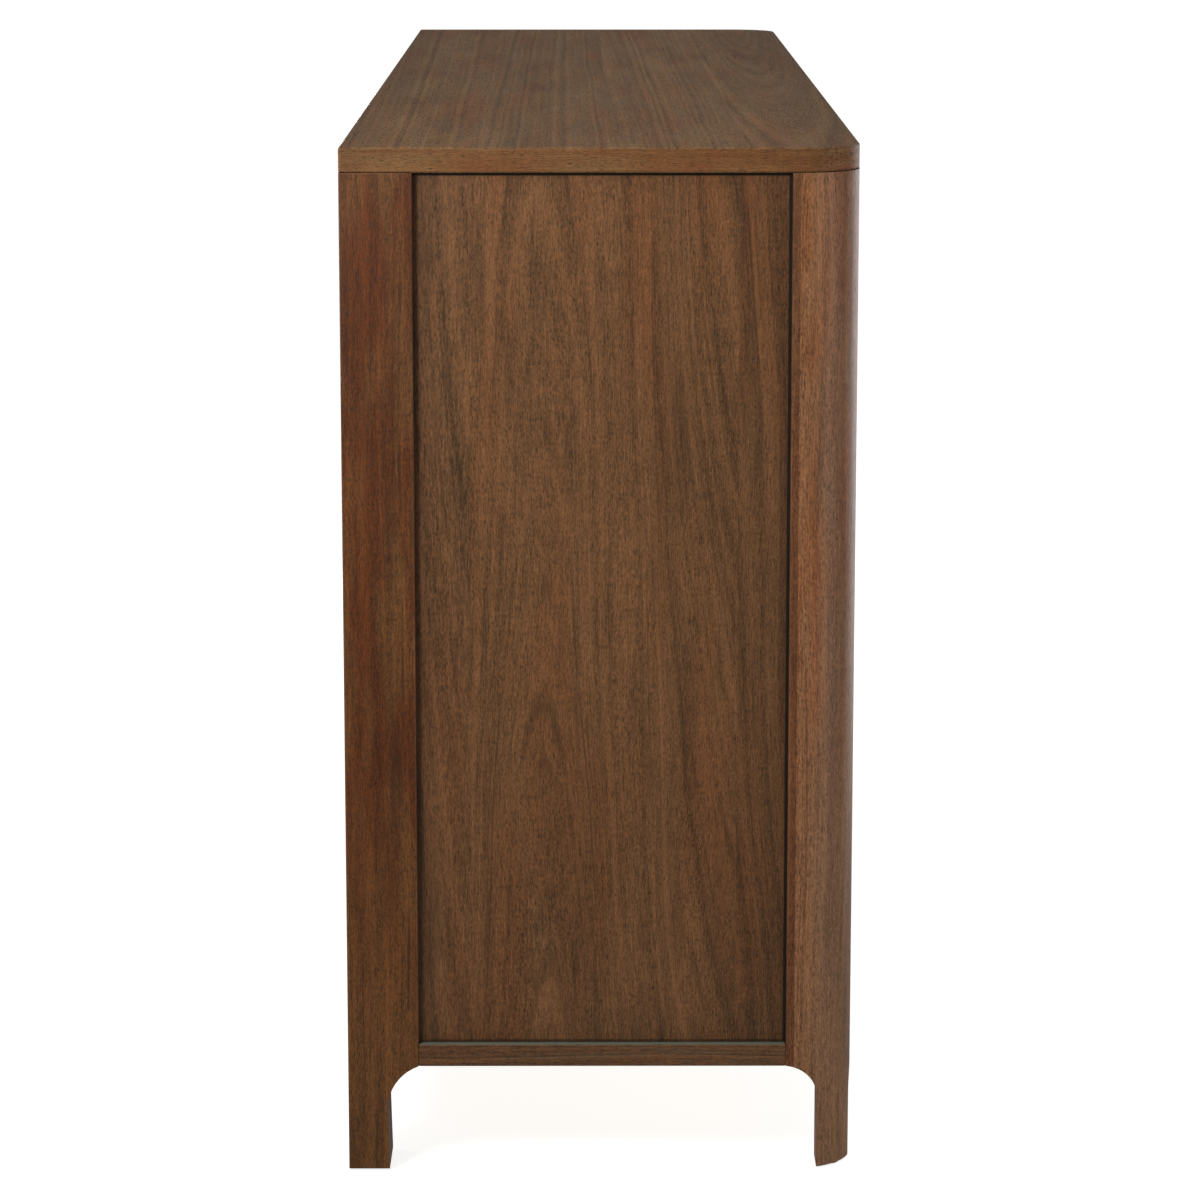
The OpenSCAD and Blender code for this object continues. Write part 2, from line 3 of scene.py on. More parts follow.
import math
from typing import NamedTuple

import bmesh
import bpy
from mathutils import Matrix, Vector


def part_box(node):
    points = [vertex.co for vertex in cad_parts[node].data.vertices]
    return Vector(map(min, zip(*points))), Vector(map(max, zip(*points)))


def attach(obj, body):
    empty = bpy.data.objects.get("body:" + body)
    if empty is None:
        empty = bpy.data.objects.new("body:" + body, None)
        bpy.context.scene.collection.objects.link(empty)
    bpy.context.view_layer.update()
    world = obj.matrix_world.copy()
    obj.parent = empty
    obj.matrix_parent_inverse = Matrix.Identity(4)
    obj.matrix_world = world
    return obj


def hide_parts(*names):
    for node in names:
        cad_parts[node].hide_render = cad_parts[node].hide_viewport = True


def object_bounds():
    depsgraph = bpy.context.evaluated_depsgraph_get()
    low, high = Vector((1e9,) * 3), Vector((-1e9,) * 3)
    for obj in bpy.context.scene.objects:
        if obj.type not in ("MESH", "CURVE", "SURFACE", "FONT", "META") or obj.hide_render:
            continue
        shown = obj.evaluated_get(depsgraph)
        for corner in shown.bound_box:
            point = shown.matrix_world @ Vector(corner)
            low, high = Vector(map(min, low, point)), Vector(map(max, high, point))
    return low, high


bl_info = {
    "name": "Walnut Dresser Finish",
    "version": (1, 0, 0),
    "blender": (4, 5, 0),
    "location": "View3D > Sidebar > Dresser",
    "description": "Gives the dresser its woods, lacquer, runner steel and screws, and a plain studio",
    "category": "Object",
}

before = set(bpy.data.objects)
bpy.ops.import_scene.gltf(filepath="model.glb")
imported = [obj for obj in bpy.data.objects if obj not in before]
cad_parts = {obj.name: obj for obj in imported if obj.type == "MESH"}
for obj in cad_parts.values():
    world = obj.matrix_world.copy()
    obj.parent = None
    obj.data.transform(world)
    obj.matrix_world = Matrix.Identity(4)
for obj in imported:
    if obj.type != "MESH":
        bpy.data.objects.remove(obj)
CAD_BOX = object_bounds()

ROWS = ("bottom", "middle", "top")
COLUMNS = ("left", "right")
DRAWERS = [f"{row}_{column}_drawer" for row in ROWS for column in COLUMNS]
MM = 0.001


# Colours and sizes that a user would change


def linear(code):
    """An sRGB hex colour as the linear red, green and blue that the shaders take."""
    parts = [int(code[i : i + 2], 16) / 255 for i in (1, 3, 5)]
    return [c / 12.92 if c <= 0.04045 else ((c + 0.055) / 1.055) ** 2.4 for c in parts]


def colour(name, description, code):
    return bpy.props.FloatVectorProperty(
        name=name, description=description, subtype="COLOR", size=3, min=0, max=1, default=linear(code)
    )


def length(name, description, millimetres):
    return bpy.props.FloatProperty(
        name=name, description=description, subtype="DISTANCE", unit="LENGTH", min=0, default=millimetres * MM
    )


def share(name, description, value):
    return bpy.props.FloatProperty(
        name=name, description=description, subtype="FACTOR", min=0, max=1, default=value
    )


def power(name, description, watts):
    return bpy.props.FloatProperty(name=name, description=description, unit="POWER", min=0, default=watts)


class DRESSER_PG_walnut(bpy.types.PropertyGroup):
    panel_light: colour("Panel, light", "Early wood of the end panels", "#895d3a")
    panel_dark: colour("Panel, dark", "Late wood of the end panels", "#3f2b15")
    front_post_light: colour("Front post, light", "Early wood of the two front posts", "#aa7b56")
    front_post_dark: colour("Front post, dark", "Late wood of the two front posts", "#533822")
    back_post_light: colour("Back post, light", "Early wood of the two back posts", "#7e5028")
    back_post_dark: colour("Back post, dark", "Late wood of the two back posts", "#38230f")
    top_light: colour("Top, light", "Early wood of the top's veneer", "#af8559")
    top_dark: colour("Top, dark", "Late wood of the top's veneer", "#583f25")
    rail_light: colour("Rails, light", "Early wood of the rails", "#7c5535")
    rail_dark: colour("Rails, dark", "Late wood of the rails", "#3e2916")
    pore: colour("Pores", "Stain gathered in the open pores", "#22170c")
    # Also painted shade: nearly black lines in the gaps round the end panels, and darker patches beside the
    # posts where their shadow falls
    glaze: colour("Glaze", "Dark glaze left along edges and in corners", "#1b150b")
    red: colour("Red heartwood", "What redder patches keep of the stain", "#fddcc4")
    back_heart: colour("Back post, heartwood", "What heartwood keeps of a back post's stain", "#e2c1a6")
    front_heart: colour("Front post, heartwood", "What heartwood keeps of a front post's stain", "#fde7d4")
    # The strip of each front post beside the end panel is darker
    strip: colour("Darker strip", "What the strip of a front post beside the end panel keeps of its stain", "#c8b8aa")
    top_streak: colour("Top, streaks", "What yellower streaks keep of the top's stain", "#fff3d2")
    lipping_streak: colour("Lipping, streaks", "What redder streaks keep of the lipping's stain", "#f4d4d2")
    # Painted reflection: the grey-green sheen that the lacquer of the ledges shows of the white room
    ledge_reflection: colour("Ledge reflection", "Painted grey-green reflection on the narrow ledges of the end rails", "#5c6b61")
    rubbed: colour("Rubbed edge", "Thin stain on an edge that hands and dusters rub", "#93704f")
    ring: length("Growth ring", "Width of one growth ring on a board's face", 7)
    fibre: length("Fibre streak", "Width of one streak of fibres", 1.1)
    pore_length: length("Pore length", "Length of one open pore along the grain", 7)
    sheen: share("Lacquer", "How much the satin lacquer shines over the stain", 0.14)


class DRESSER_PG_inner_wood(bpy.types.PropertyGroup):
    maple_light: colour("Maple, light", "Early wood of the drawer boxes", "#e0cba8")
    maple_dark: colour("Maple, dark", "Late wood of the drawer boxes", "#c8aa80")
    poplar_light: colour("Poplar, light", "Sapwood of the blocks and cleats", "#d3c298")
    poplar_dark: colour("Poplar, dark", "Greenish heartwood of the blocks and cleats", "#a79a6c")
    birch_light: colour("Birch, light", "Face veneer of the drawer floors and inner panels", "#e2cfae")
    birch_dark: colour("Birch, dark", "Figure in the birch veneer", "#ccae86")
    back_light: colour("Back, light", "Stained face of the back panels", "#6f5138")
    back_dark: colour("Back, dark", "Stained figure of the back panels", "#4a3322")


class DRESSER_PG_hardware(bpy.types.PropertyGroup):
    runner: colour("Runner steel", "Bright zinc on the drawer runners", "#b9bcbd")
    screw: colour("Screw steel", "Yellow zinc on the screws", "#bfa56a")
    glide: colour("Glide", "Moulded nylon of the glides", "#3a3632")
    scuff: colour("Glide scuffs", "Dust rubbed into the face that slides", "#8a857d")
    head_width: length("Screw head", "Width of a pan head", 8)
    head_height: length("Screw head height", "Height of a pan head", 2.1)
    cross_width: length("Cross recess", "Width of one slot of the cross recess", 1.1)
    ease: length("Eased edge", "Radius on the top edges of the drawer boxes", 1.5)
    box_board: length("Box board", "Thickness of a drawer box's boards", 12)
    runner_metal: length("Runner metal", "Thickness of a runner member's web", 1.2)
    runner_hole_inset: length("Runner hole", "Distance of a runner's screw holes from its ends", 25)


class DRESSER_PG_studio(bpy.types.PropertyGroup):
    floor: colour("Floor", "Pale floor", "#a3a2a0")
    floor_glow: share("Floor glow", "How white the lit floor looks far from the dresser", 0.82)
    backdrop: share("Backdrop", "Brightness of the white backdrop that only the camera sees", 0.96)
    warm: colour("Warm light", "Tint of the lights at the two ends and the back", "#fffdfa")
    cool: colour("Cool light", "Tint of the fill light", "#fdfeff")
    key_power: power("Key", "Power of the soft light at the upper left", 19)
    fill_power: power("Fill", "Power of the weak soft light at the right", 19)
    top_power: power("Top", "Power of the soft light overhead", 6)
    rim_power: power("Rim", "Power of the light behind the front corner", 60)
    far_power: power("Far end", "Power of the soft light on the end away from the camera", 12)
    back_power: power("Back", "Power of the soft light behind the dresser", 45)
    room: share("Room light", "Strength of the light from overhead and below, dim along the horizon", 0.86)
    lens: bpy.props.FloatProperty(name="Lens", description="Focal length", unit="CAMERA", default=127.6)


class DRESSER_PG_settings(bpy.types.PropertyGroup):
    walnut: bpy.props.PointerProperty(type=DRESSER_PG_walnut)
    inner_wood: bpy.props.PointerProperty(type=DRESSER_PG_inner_wood)
    hardware: bpy.props.PointerProperty(type=DRESSER_PG_hardware)
    studio: bpy.props.PointerProperty(type=DRESSER_PG_studio)


# Materials


def add(tree, kind, feeds=None, **settings):
    """Adds a node. settings are its own properties, and feeds gives inputs a value, a node or a socket."""
    node = tree.nodes.new(kind)
    node.location.x = 180 * len(tree.nodes)
    for name, value in settings.items():
        setattr(node, name, value)
    for key, source in (feeds or {}).items():
        by_name = {socket.identifier: socket for socket in node.inputs}
        socket = node.inputs[key] if isinstance(key, int) else by_name[key]
        if isinstance(source, bpy.types.Node):
            source = next(out for out in source.outputs if out.enabled)
        if isinstance(source, bpy.types.NodeSocket):
            tree.links.new(source, socket)
        else:
            socket.default_value = source
    return node


def opaque(rgb):
    return (*rgb, 1)


UNSTAINED = (1, 1, 1, 1)


def new_material(name):
    material = bpy.data.materials.new(name)
    material.use_nodes = True
    material.node_tree.nodes.clear()
    return material, material.node_tree


def board_place(tree, axes):
    """Place on a board in millimetres. axes names the board's wide way, its thickness and the grain's way."""
    place = add(tree, "ShaderNodeTexCoord").outputs["Object"]
    scaled = add(tree, "ShaderNodeVectorMath", {0: place, "Scale": 1 / MM}, operation="SCALE")
    parts = add(tree, "ShaderNodeSeparateXYZ", {0: scaled})
    return add(tree, "ShaderNodeCombineXYZ", {i: parts.outputs[axis] for i, axis in enumerate(axes)})


def streaks(tree, place, width, along, detail=2.0, seed=0.0):
    """Noise from 0 to 1 drawn out along the grain: one streak is width by along, in millimetres."""
    feeds = {0: place, 1: (1 / width, 1 / width, 1 / along), 2: (seed, seed, seed)}
    drawn = add(tree, "ShaderNodeVectorMath", feeds, operation="MULTIPLY_ADD")
    feeds = {"Vector": drawn, "Scale": 1.0, "Detail": detail, "Roughness": 0.55}
    return add(tree, "ShaderNodeTexNoise", feeds, noise_dimensions="3D")


def strayed(tree, place, wander, seed=0.0):
    """place with the grain pushed sideways by up to half of wander, a number or a node, in millimetres."""
    stray = streaks(tree, place, 90, 480, detail=1.0, seed=seed)
    centred = add(tree, "ShaderNodeMath", {0: stray, 1: 0.5}, operation="SUBTRACT")
    pushed = add(tree, "ShaderNodeMath", {0: centred, 1: wander}, operation="MULTIPLY")
    sideways = add(tree, "ShaderNodeCombineXYZ", {0: pushed})
    return add(tree, "ShaderNodeVectorMath", {0: place, 1: sideways}, operation="ADD")


def growth_lines(tree, place, ring, seed=0.0):
    """Growth rings cut by the board's face: broad bands, and thin dark lines that fade in and out."""
    across = add(tree, "ShaderNodeVectorMath", {0: place, 1: (1, 0.35, 0.004)}, operation="DOT_PRODUCT")
    feeds = {0: across.outputs["Value"], 1: 1 / ring, 2: seed}
    rings = add(tree, "ShaderNodeMath", feeds, operation="MULTIPLY_ADD")
    feeds = {"W": rings, "Scale": 1.0, "Detail": 3.0, "Roughness": 0.6}
    wide = add(tree, "ShaderNodeTexNoise", feeds, noise_dimensions="1D")
    feeds = {"W": rings, "Scale": 3.1, "Detail": 1.0, "Roughness": 0.5}
    fine = add(tree, "ShaderNodeTexNoise", feeds, noise_dimensions="1D")
    thin = add(tree, "ShaderNodeMapRange", {"Value": fine, "From Min": 0.53, "From Max": 0.68})
    fading = streaks(tree, place, 9, 110, detail=2.0, seed=seed + 29)
    fade = add(tree, "ShaderNodeMapRange", {"Value": fading, "From Min": 0.44, "From Max": 0.62})
    bands = add(tree, "ShaderNodeMapRange", {"Value": wide, "From Min": 0.3, "From Max": 0.7})
    lines = add(tree, "ShaderNodeMath", {0: thin, 1: fade}, operation="MULTIPLY")
    return bands, lines


def edge_wear(tree, reach):
    """1 on the arrises and 0 on the flats, from how a rounded normal leaves the true one."""
    rounded = add(tree, "ShaderNodeBevel", {"Radius": reach}, samples=4)
    true = add(tree, "ShaderNodeNewGeometry").outputs["Normal"]
    agree = add(tree, "ShaderNodeVectorMath", {0: rounded, 1: true}, operation="DOT_PRODUCT")
    feeds = {"Value": agree.outputs["Value"], "From Min": 0.995, "From Max": 0.86}
    return add(tree, "ShaderNodeMapRange", feeds), rounded


def end_grain(tree, axes):
    """1 on the ends that are sawn across the grain."""
    normal = add(tree, "ShaderNodeTexCoord").outputs["Normal"]
    parts = add(tree, "ShaderNodeSeparateXYZ", {0: normal})
    facing = add(tree, "ShaderNodeMath", {0: parts.outputs[axes[2]]}, operation="ABSOLUTE")
    return add(tree, "ShaderNodeMapRange", {"Value": facing, "From Min": 0.75, "From Max": 0.95})


class Wood(NamedTuple):
    """How a kind of board looks. Lengths are in millimetres, and strengths go from 0 to 1."""

    light: tuple  # early wood
    dark: tuple  # late wood, and ends sawn across the grain
    pore: tuple
    ring: float
    fibre: float
    pore_length: float
    pores: float  # how dark the open pores are
    sheen: float  # of the coat of lacquer
    gloss: float = 0.3  # of the wood under it
    rough: float = 0.4
    late: float = 0.7  # how dark the thin lines of late wood are
    banding: float = 0.24  # how much a growth ring tells
    seed: float = 0.0  # draws a pattern of the board's own
    # Glaze, also painted shade on the end panels; on the end rails, the painted grey-green reflection on
    # their ledges
    glaze: tuple | None = None
    smoke: float = 0.0  # how much glaze hangs over the face
    red: tuple | None = None
    flush: float = 0.0  # how red the redder patches are
    rubbed: tuple | None = None

    # These are functions that add what only some boards have. wander may be a plain length too
    wander: object = 26
    place: object = None
    figure: object = None
    tone: object = None
    shade: object = None


# Real pores and fibres are 0.1 to 0.3 mm wide. They are drawn wider here, or they wouldn't show in a render
PORE_WIDTH = 0.8
GRIT = (1.1, 3.0)
FIBRE_LENGTH = 17
CLOUD = (34, 260)
RIPPLE = (26, 7)
WARM_PATCH = (46, 330)
SMOKE = (13, 150)
# How much each of them tells in how light the wood is, and the sums at which it is darkest and lightest
FIBRE_TELLS = 0.8
CLOUD_TELLS = 0.46
GRIT_TELLS = 0.85
RIPPLE_TELLS = 0.14
DARKEST = 0.89
LIGHTEST = 1.59
# Most of a noise's values lie between these two
NOISE_LOW = 0.35
NOISE_HIGH = 0.65
WORN_ARRIS = 1.4 * MM


def wood(name, axes, look):
    """A board of lacquered wood. axes is as in board_place, and look is a Wood."""
    material, tree = new_material(name)
    place = look.place(tree) if look.place else board_place(tree, axes)
    wander = look.wander(tree) if callable(look.wander) else look.wander
    place = strayed(tree, place, wander, look.seed)
    rings_at = look.figure(tree, place) if look.figure else place
    bands, lines = growth_lines(tree, rings_at, look.ring, look.seed)
    fibres = streaks(tree, place, look.fibre, FIBRE_LENGTH, detail=3.0, seed=look.seed + 3)
    cloud = streaks(tree, place, *CLOUD, detail=3.0, seed=look.seed + 7)
    flecks = streaks(tree, place, PORE_WIDTH, look.pore_length, detail=1.0, seed=look.seed + 11)
    grit = streaks(tree, place, *GRIT, detail=1.0, seed=look.seed + 13)
    ripple = streaks(tree, place, *RIPPLE, detail=1.0, seed=look.seed + 17)

    # Bands, fibres, clouds and the fine texture together say how light the wood is
    feeds = {0: bands, 1: look.banding, 2: (0.24 - look.banding) / 2}
    tint = add(tree, "ShaderNodeMath", feeds, operation="MULTIPLY_ADD")
    tells = ((fibres, FIBRE_TELLS), (cloud, CLOUD_TELLS), (grit, GRIT_TELLS), (ripple, RIPPLE_TELLS))
    for part, weight in tells:
        tint = add(tree, "ShaderNodeMath", {0: part, 1: weight, 2: tint}, operation="MULTIPLY_ADD")
    tint = add(tree, "ShaderNodeMapRange", {"Value": tint, "From Min": DARKEST, "From Max": LIGHTEST})
    layers = [(tint, opaque(look.light), "MIX")]

    # Thin dark late wood, then the pores, most of them in the dark bands
    late = add(tree, "ShaderNodeMath", {0: lines, 1: look.late}, operation="MULTIPLY")
    layers.append((late, opaque(look.dark), "MIX"))
    dense = add(tree, "ShaderNodeMapRange", {"Value": bands, "To Min": 0.54, "To Max": 0.6})
    open_pore = add(tree, "ShaderNodeMath", {0: flecks, 1: dense}, operation="SUBTRACT")
    open_pore = add(tree, "ShaderNodeMapRange", {"Value": open_pore, "From Max": 0.09})
    pore_share = add(tree, "ShaderNodeMath", {0: open_pore, 1: look.pores}, operation="MULTIPLY")
    layers.append((pore_share, opaque(look.pore), "MIX"))
    if look.tone:
        layers.append((1.0, look.tone(tree), "MULTIPLY"))

    # Smoky glaze over the face, and patches that are redder
    if look.glaze is not None:
        haze = streaks(tree, place, *SMOKE, detail=3.0, seed=look.seed + 41)
        feeds = {"Value": haze, "From Min": 0.53, "From Max": 0.72, "To Max": look.smoke}
        layers.append((add(tree, "ShaderNodeMapRange", feeds), opaque(look.glaze), "MIX"))
    if look.red is not None:
        warm = streaks(tree, place, *WARM_PATCH, detail=2.0, seed=look.seed + 23)
        feeds = {"Value": warm, "From Min": 0.46, "From Max": 0.66, "To Max": look.flush}
        layers.append((add(tree, "ShaderNodeMapRange", feeds), opaque(look.red), "MULTIPLY"))

    # Sawn ends are darker, some boards get glaze and painted shade along their edges or a painted reflection
    # on their ledges, and arrises are rubbed in places
    ends = add(tree, "ShaderNodeMath", {0: end_grain(tree, axes), 1: 0.55}, operation="MULTIPLY")
    layers.append((ends, opaque(look.dark), "MIX"))
    if look.shade and look.glaze is not None:
        layers.append((look.shade(tree, cloud), opaque(look.glaze), "MIX"))
    worn, rounded = edge_wear(tree, WORN_ARRIS)
    if look.rubbed is not None:
        feeds = {"Value": cloud, "From Min": NOISE_LOW, "From Max": NOISE_HIGH, "To Min": 0.1, "To Max": 0.6}
        patchy = add(tree, "ShaderNodeMapRange", feeds)
        rub = add(tree, "ShaderNodeMath", {0: worn, 1: patchy}, operation="MULTIPLY")
        layers.append((rub, opaque(look.rubbed), "MIX"))

    base = opaque(look.dark)
    for factor, over, blend in layers:
        feeds = {"Factor_Float": factor, "A_Color": base, "B_Color": over}
        base = add(tree, "ShaderNodeMix", feeds, data_type="RGBA", blend_type=blend)

    # The lacquer sinks a little into the pores and follows the fibres
    hollow = add(tree, "ShaderNodeMath", {0: open_pore, 1: -0.8}, operation="MULTIPLY")
    height = add(tree, "ShaderNodeMath", {0: fibres, 1: 0.35, 2: hollow}, operation="MULTIPLY_ADD")
    feeds = {"Strength": 0.35, "Distance": 0.06 * MM, "Height": height, "Normal": rounded}
    bump = add(tree, "ShaderNodeBump", feeds)
    dull = add(tree, "ShaderNodeMath", {0: open_pore, 1: 0.16, 2: look.rough}, operation="MULTIPLY_ADD")
    dull = add(tree, "ShaderNodeMath", {0: fibres, 1: 0.08, 2: dull}, operation="MULTIPLY_ADD")
    shader = add(
        tree,
        "ShaderNodeBsdfPrincipled",
        {
            "Base Color": base,
            "Roughness": dull,
            "IOR": 1.5,
            "Specular IOR Level": look.gloss,
            "Coat Weight": look.sheen,
            "Coat Roughness": 0.3,
            "Coat IOR": 1.4,
            "Normal": bump,
        },
    )
    add(tree, "ShaderNodeOutputMaterial", {"Surface": shader})
    return material


def walnut(name, axes, settings, piece, **more):
    """Black walnut, stained and sprayed with satin lacquer: brown, with short dark pores and a soft shine."""
    look = {
        "light": getattr(settings, piece + "_light"),
        "dark": getattr(settings, piece + "_dark"),
        "pore": settings.pore,
        "ring": settings.ring / MM,
        "fibre": settings.fibre / MM,
        "pore_length": settings.pore_length / MM,
        "pores": 0.5,
        "sheen": settings.sheen,
        "glaze": settings.glaze,
        "smoke": 0.36,
        "red": settings.red,
        "flush": 0.4,
        "rubbed": settings.rubbed,
    }
    look.update(more)
    return wood(name, axes, Wood(**look))


def pale_wood(name, axes, light, dark, **more):
    """A pale close-grained wood under clear lacquer: nearly plain, with faint pores and a dry shine."""
    look = {
        "light": light,
        "dark": dark,
        "pore": [c * 0.7 for c in dark],
        "ring": 11,
        "fibre": 1.3,
        "pore_length": 5,
        "pores": 0.3,
        "sheen": 0.12,
        "rough": 0.48,
    }
    look.update(more)
    return wood(name, axes, Wood(**look))


class Leaf(NamedTuple):
    """A leaf of veneer, flat-cut from a log. Sizes are in millimetres."""

    width: float
    tone: float  # how light it is
    wander: float  # how far its figure strays
    heart: float  # from its first edge across to the heart of its log
    depth: float  # of the heart under its face
    rise: float  # how much deeper the heart lies for each millimetre along


# The end panels and the top are laid up from these leaves, from the back to the front, and the drawer
# fronts from one leaf a row, from the top down
PANEL_LEAVES = (
    Leaf(48, 0.9, 30, 62, 96, -0.055),
    Leaf(163, 0.98, 40, 62, 36, 0.042),
    Leaf(71, 0.97, 46, 96, 124, -0.09),
    Leaf(60, 0.88, 40, -26, 62, 0.03),
)
TOP_LEAVES = (
    Leaf(120, 0.59, 6, -60, 70, 0.01),
    Leaf(110, 0.55, 8, 190, 80, -0.015),
    Leaf(120, 0.59, 6, -70, 70, 0.012),
    Leaf(100, 0.56, 20, 52, 46, -0.03),
)
FRONT_LEAVES = (
    Leaf(258, 0.98, 40, 120, 62, 0.03),
    Leaf(258, 0.95, 40, 150, 70, -0.035),
    Leaf(258, 0.97, 40, 105, 66, 0.028),
)


class Layup:
    """Leaves of veneer laid side by side. axes is as in board_place, start is the first leaf's outer edge,
    and step moves each leaf's pattern on from the one before, in millimetres."""

    def __init__(self, leaves, start, axes, step):
        self.leaves = leaves
        self.start = start
        self.axes = axes
        self.step = step

    def values(self, tree, pick):
        """A value for each leaf, in steps across them. pick is a function of index, leaf and first edge."""
        parts = add(tree, "ShaderNodeSeparateXYZ", {0: board_place(tree, self.axes)})
        edge = self.start
        before = float(pick(0, self.leaves[0], edge))
        level = before
        for index in range(1, len(self.leaves)):
            edge -= self.leaves[index - 1].width
            value = float(pick(index, self.leaves[index], edge))
            beyond = add(tree, "ShaderNodeMath", {0: parts.outputs["X"], 1: edge}, operation="LESS_THAN")
            feeds = {0: beyond, 1: value - before, 2: level}
            level = add(tree, "ShaderNodeMath", feeds, operation="MULTIPLY_ADD")
            before = value
        return level

    def place(self, tree):
        """Place on the board, across from each leaf's heart, and shifted along so each figure differs."""
        heart = self.values(tree, lambda index, leaf, edge: leaf.heart - edge)
        shift = self.values(tree, lambda index, leaf, edge: self.step * index)
        pushed = add(tree, "ShaderNodeCombineXYZ", {0: heart, 1: shift, 2: shift})
        place = board_place(tree, self.axes)
        return add(tree, "ShaderNodeVectorMath", {0: place, 1: pushed}, operation="ADD")

    def tone(self, tree):
        return self.values(tree, lambda index, leaf, edge: leaf.tone)

    def wander(self, tree):
        return self.values(tree, lambda index, leaf, edge: leaf.wander)

    def figure(self, tree, place):
        """Distance from each log's heart: arches down a leaf's middle, and slanting lines beside them."""
        across = add(tree, "ShaderNodeSeparateXYZ", {0: place})
        along = add(tree, "ShaderNodeSeparateXYZ", {0: board_place(tree, self.axes)})
        depth = self.values(tree, lambda index, leaf, edge: leaf.depth)
        rise = self.values(tree, lambda index, leaf, edge: leaf.rise)
        feeds = {0: along.outputs["Z"], 1: rise, 2: depth}
        deep = add(tree, "ShaderNodeMath", feeds, operation="MULTIPLY_ADD")
        cut = add(tree, "ShaderNodeCombineXYZ", {0: across.outputs["X"], 1: deep})
        distance = add(tree, "ShaderNodeVectorMath", {0: cut}, operation="LENGTH").outputs["Value"]
        return add(
            tree, "ShaderNodeCombineXYZ", {0: distance, 1: across.outputs["Y"], 2: across.outputs["Z"]}
        )


class Edge(NamedTuple):
    """An edge along which glaze and painted shade darken a board."""

    axis: str  # across the edge
    at: float  # in metres
    way: int  # into the board, 1 or -1
    reach: float  # in millimetres
    amount: float


def glaze_left(haze, corners=()):
    """Glaze and painted shade: darker in patches along haze, partly glaze wiped off the middle and partly
    painted shade, and nearly black lines of painted shade along corners.
    """

    def shade(tree, cloud):
        parts = add(tree, "ShaderNodeSeparateXYZ", {0: add(tree, "ShaderNodeTexCoord").outputs["Object"]})
        spread = 0.0
        # Darker in patches along the edges: glaze, and on the end panels painted shade too
        for edge in haze:
            feeds = {0: parts.outputs[edge.axis], 1: edge.at}
            inward = add(tree, "ShaderNodeMath", feeds, operation="SUBTRACT")
            feeds = {"Value": inward, "From Max": edge.way * edge.reach * MM, "To Min": 1.0, "To Max": 0.0}
            part = add(tree, "ShaderNodeMapRange", feeds)
            soft = add(tree, "ShaderNodeMath", {0: part, 1: 1.6}, operation="POWER")
            feeds = {
                "Value": cloud,
                "From Min": NOISE_LOW,
                "From Max": NOISE_HIGH,
                "To Min": 0.3 * edge.amount,
                "To Max": edge.amount,
            }
            patchy = add(tree, "ShaderNodeMapRange", feeds)
            left = add(tree, "ShaderNodeMath", {0: soft, 1: patchy}, operation="MULTIPLY")
            spread = add(tree, "ShaderNodeMath", {0: left, 1: spread}, operation="MAXIMUM")
        # Painted shade: nearly black lines along corners, where gaps between parts lie in shade
        for edge in corners:
            feeds = {0: parts.outputs[edge.axis], 1: edge.at}
            inward = add(tree, "ShaderNodeMath", feeds, operation="SUBTRACT")
            reach = edge.way * edge.reach * MM
            feeds = {
                "Value": inward,
                "From Min": reach,
                "From Max": reach * 1.4,
                "To Min": edge.amount,
                "To Max": 0.0,
            }
            line = add(tree, "ShaderNodeMapRange", feeds)
            spread = add(tree, "ShaderNodeMath", {0: line, 1: spread}, operation="MAXIMUM")
        return spread

    return shade


def foot_scuffs(tree, cloud):
    """Dull dark scuffs over the last few centimetres of a foot."""
    parts = add(tree, "ShaderNodeSeparateXYZ", {0: add(tree, "ShaderNodeTexCoord").outputs["Object"]})
    feeds = {"Value": parts.outputs["Z"], "From Max": 60 * MM, "To Min": 0.06, "To Max": 0.0}
    low = add(tree, "ShaderNodeMapRange", feeds)
    patchy = add(
        tree, "ShaderNodeMapRange", {"Value": cloud, "From Min": NOISE_LOW, "From Max": NOISE_HIGH}
    )
    return add(tree, "ShaderNodeMath", {0: low, 1: patchy}, operation="MULTIPLY")


def paint_ledge_reflection(tree, cloud):
    """A painted reflection: a thin, even grey-green sheen on the narrow ledge of an end rail. cloud isn't
    used.
    """
    normal = add(tree, "ShaderNodeSeparateXYZ", {0: add(tree, "ShaderNodeTexCoord").outputs["Normal"]})
    feeds = {"Value": normal.outputs["Z"], "From Min": 0.7, "From Max": 0.9, "To Max": 0.85}
    return add(tree, "ShaderNodeMapRange", feeds)


TOP_LAYUP = Layup(TOP_LEAVES, 225, "YZX", 371)


def along_lipping(tree):
    """Place on the lipping round the top's edge, whose grain follows the edge."""
    parts = add(tree, "ShaderNodeSeparateXYZ", {0: board_place(tree, "YZX")})
    far = add(tree, "ShaderNodeMath", {0: parts.outputs["Z"]}, operation="ABSOLUTE")
    round_edge = add(tree, "ShaderNodeMath", {0: far, 1: parts.outputs["X"]}, operation="ADD")
    return add(tree, "ShaderNodeCombineXYZ", {0: parts.outputs["Y"], 1: 0.0, 2: round_edge})


def on_lipping(tree):
    """1 on the lipping round the top's edge and 0 on the veneer."""
    normal = add(tree, "ShaderNodeSeparateXYZ", {0: add(tree, "ShaderNodeTexCoord").outputs["Normal"]})
    up = add(tree, "ShaderNodeMath", {0: normal.outputs["Z"]}, operation="ABSOLUTE")
    return add(tree, "ShaderNodeMath", {0: up, 1: 0.6}, operation="LESS_THAN")


def top_place(tree):
    """The top's veneer runs along its length, and the lipping round its edge runs along the edge."""
    feeds = {
        "Factor_Float": on_lipping(tree),
        "A_Vector": TOP_LAYUP.place(tree),
        "B_Vector": along_lipping(tree),
    }
    return add(tree, "ShaderNodeMix", feeds, data_type="VECTOR")


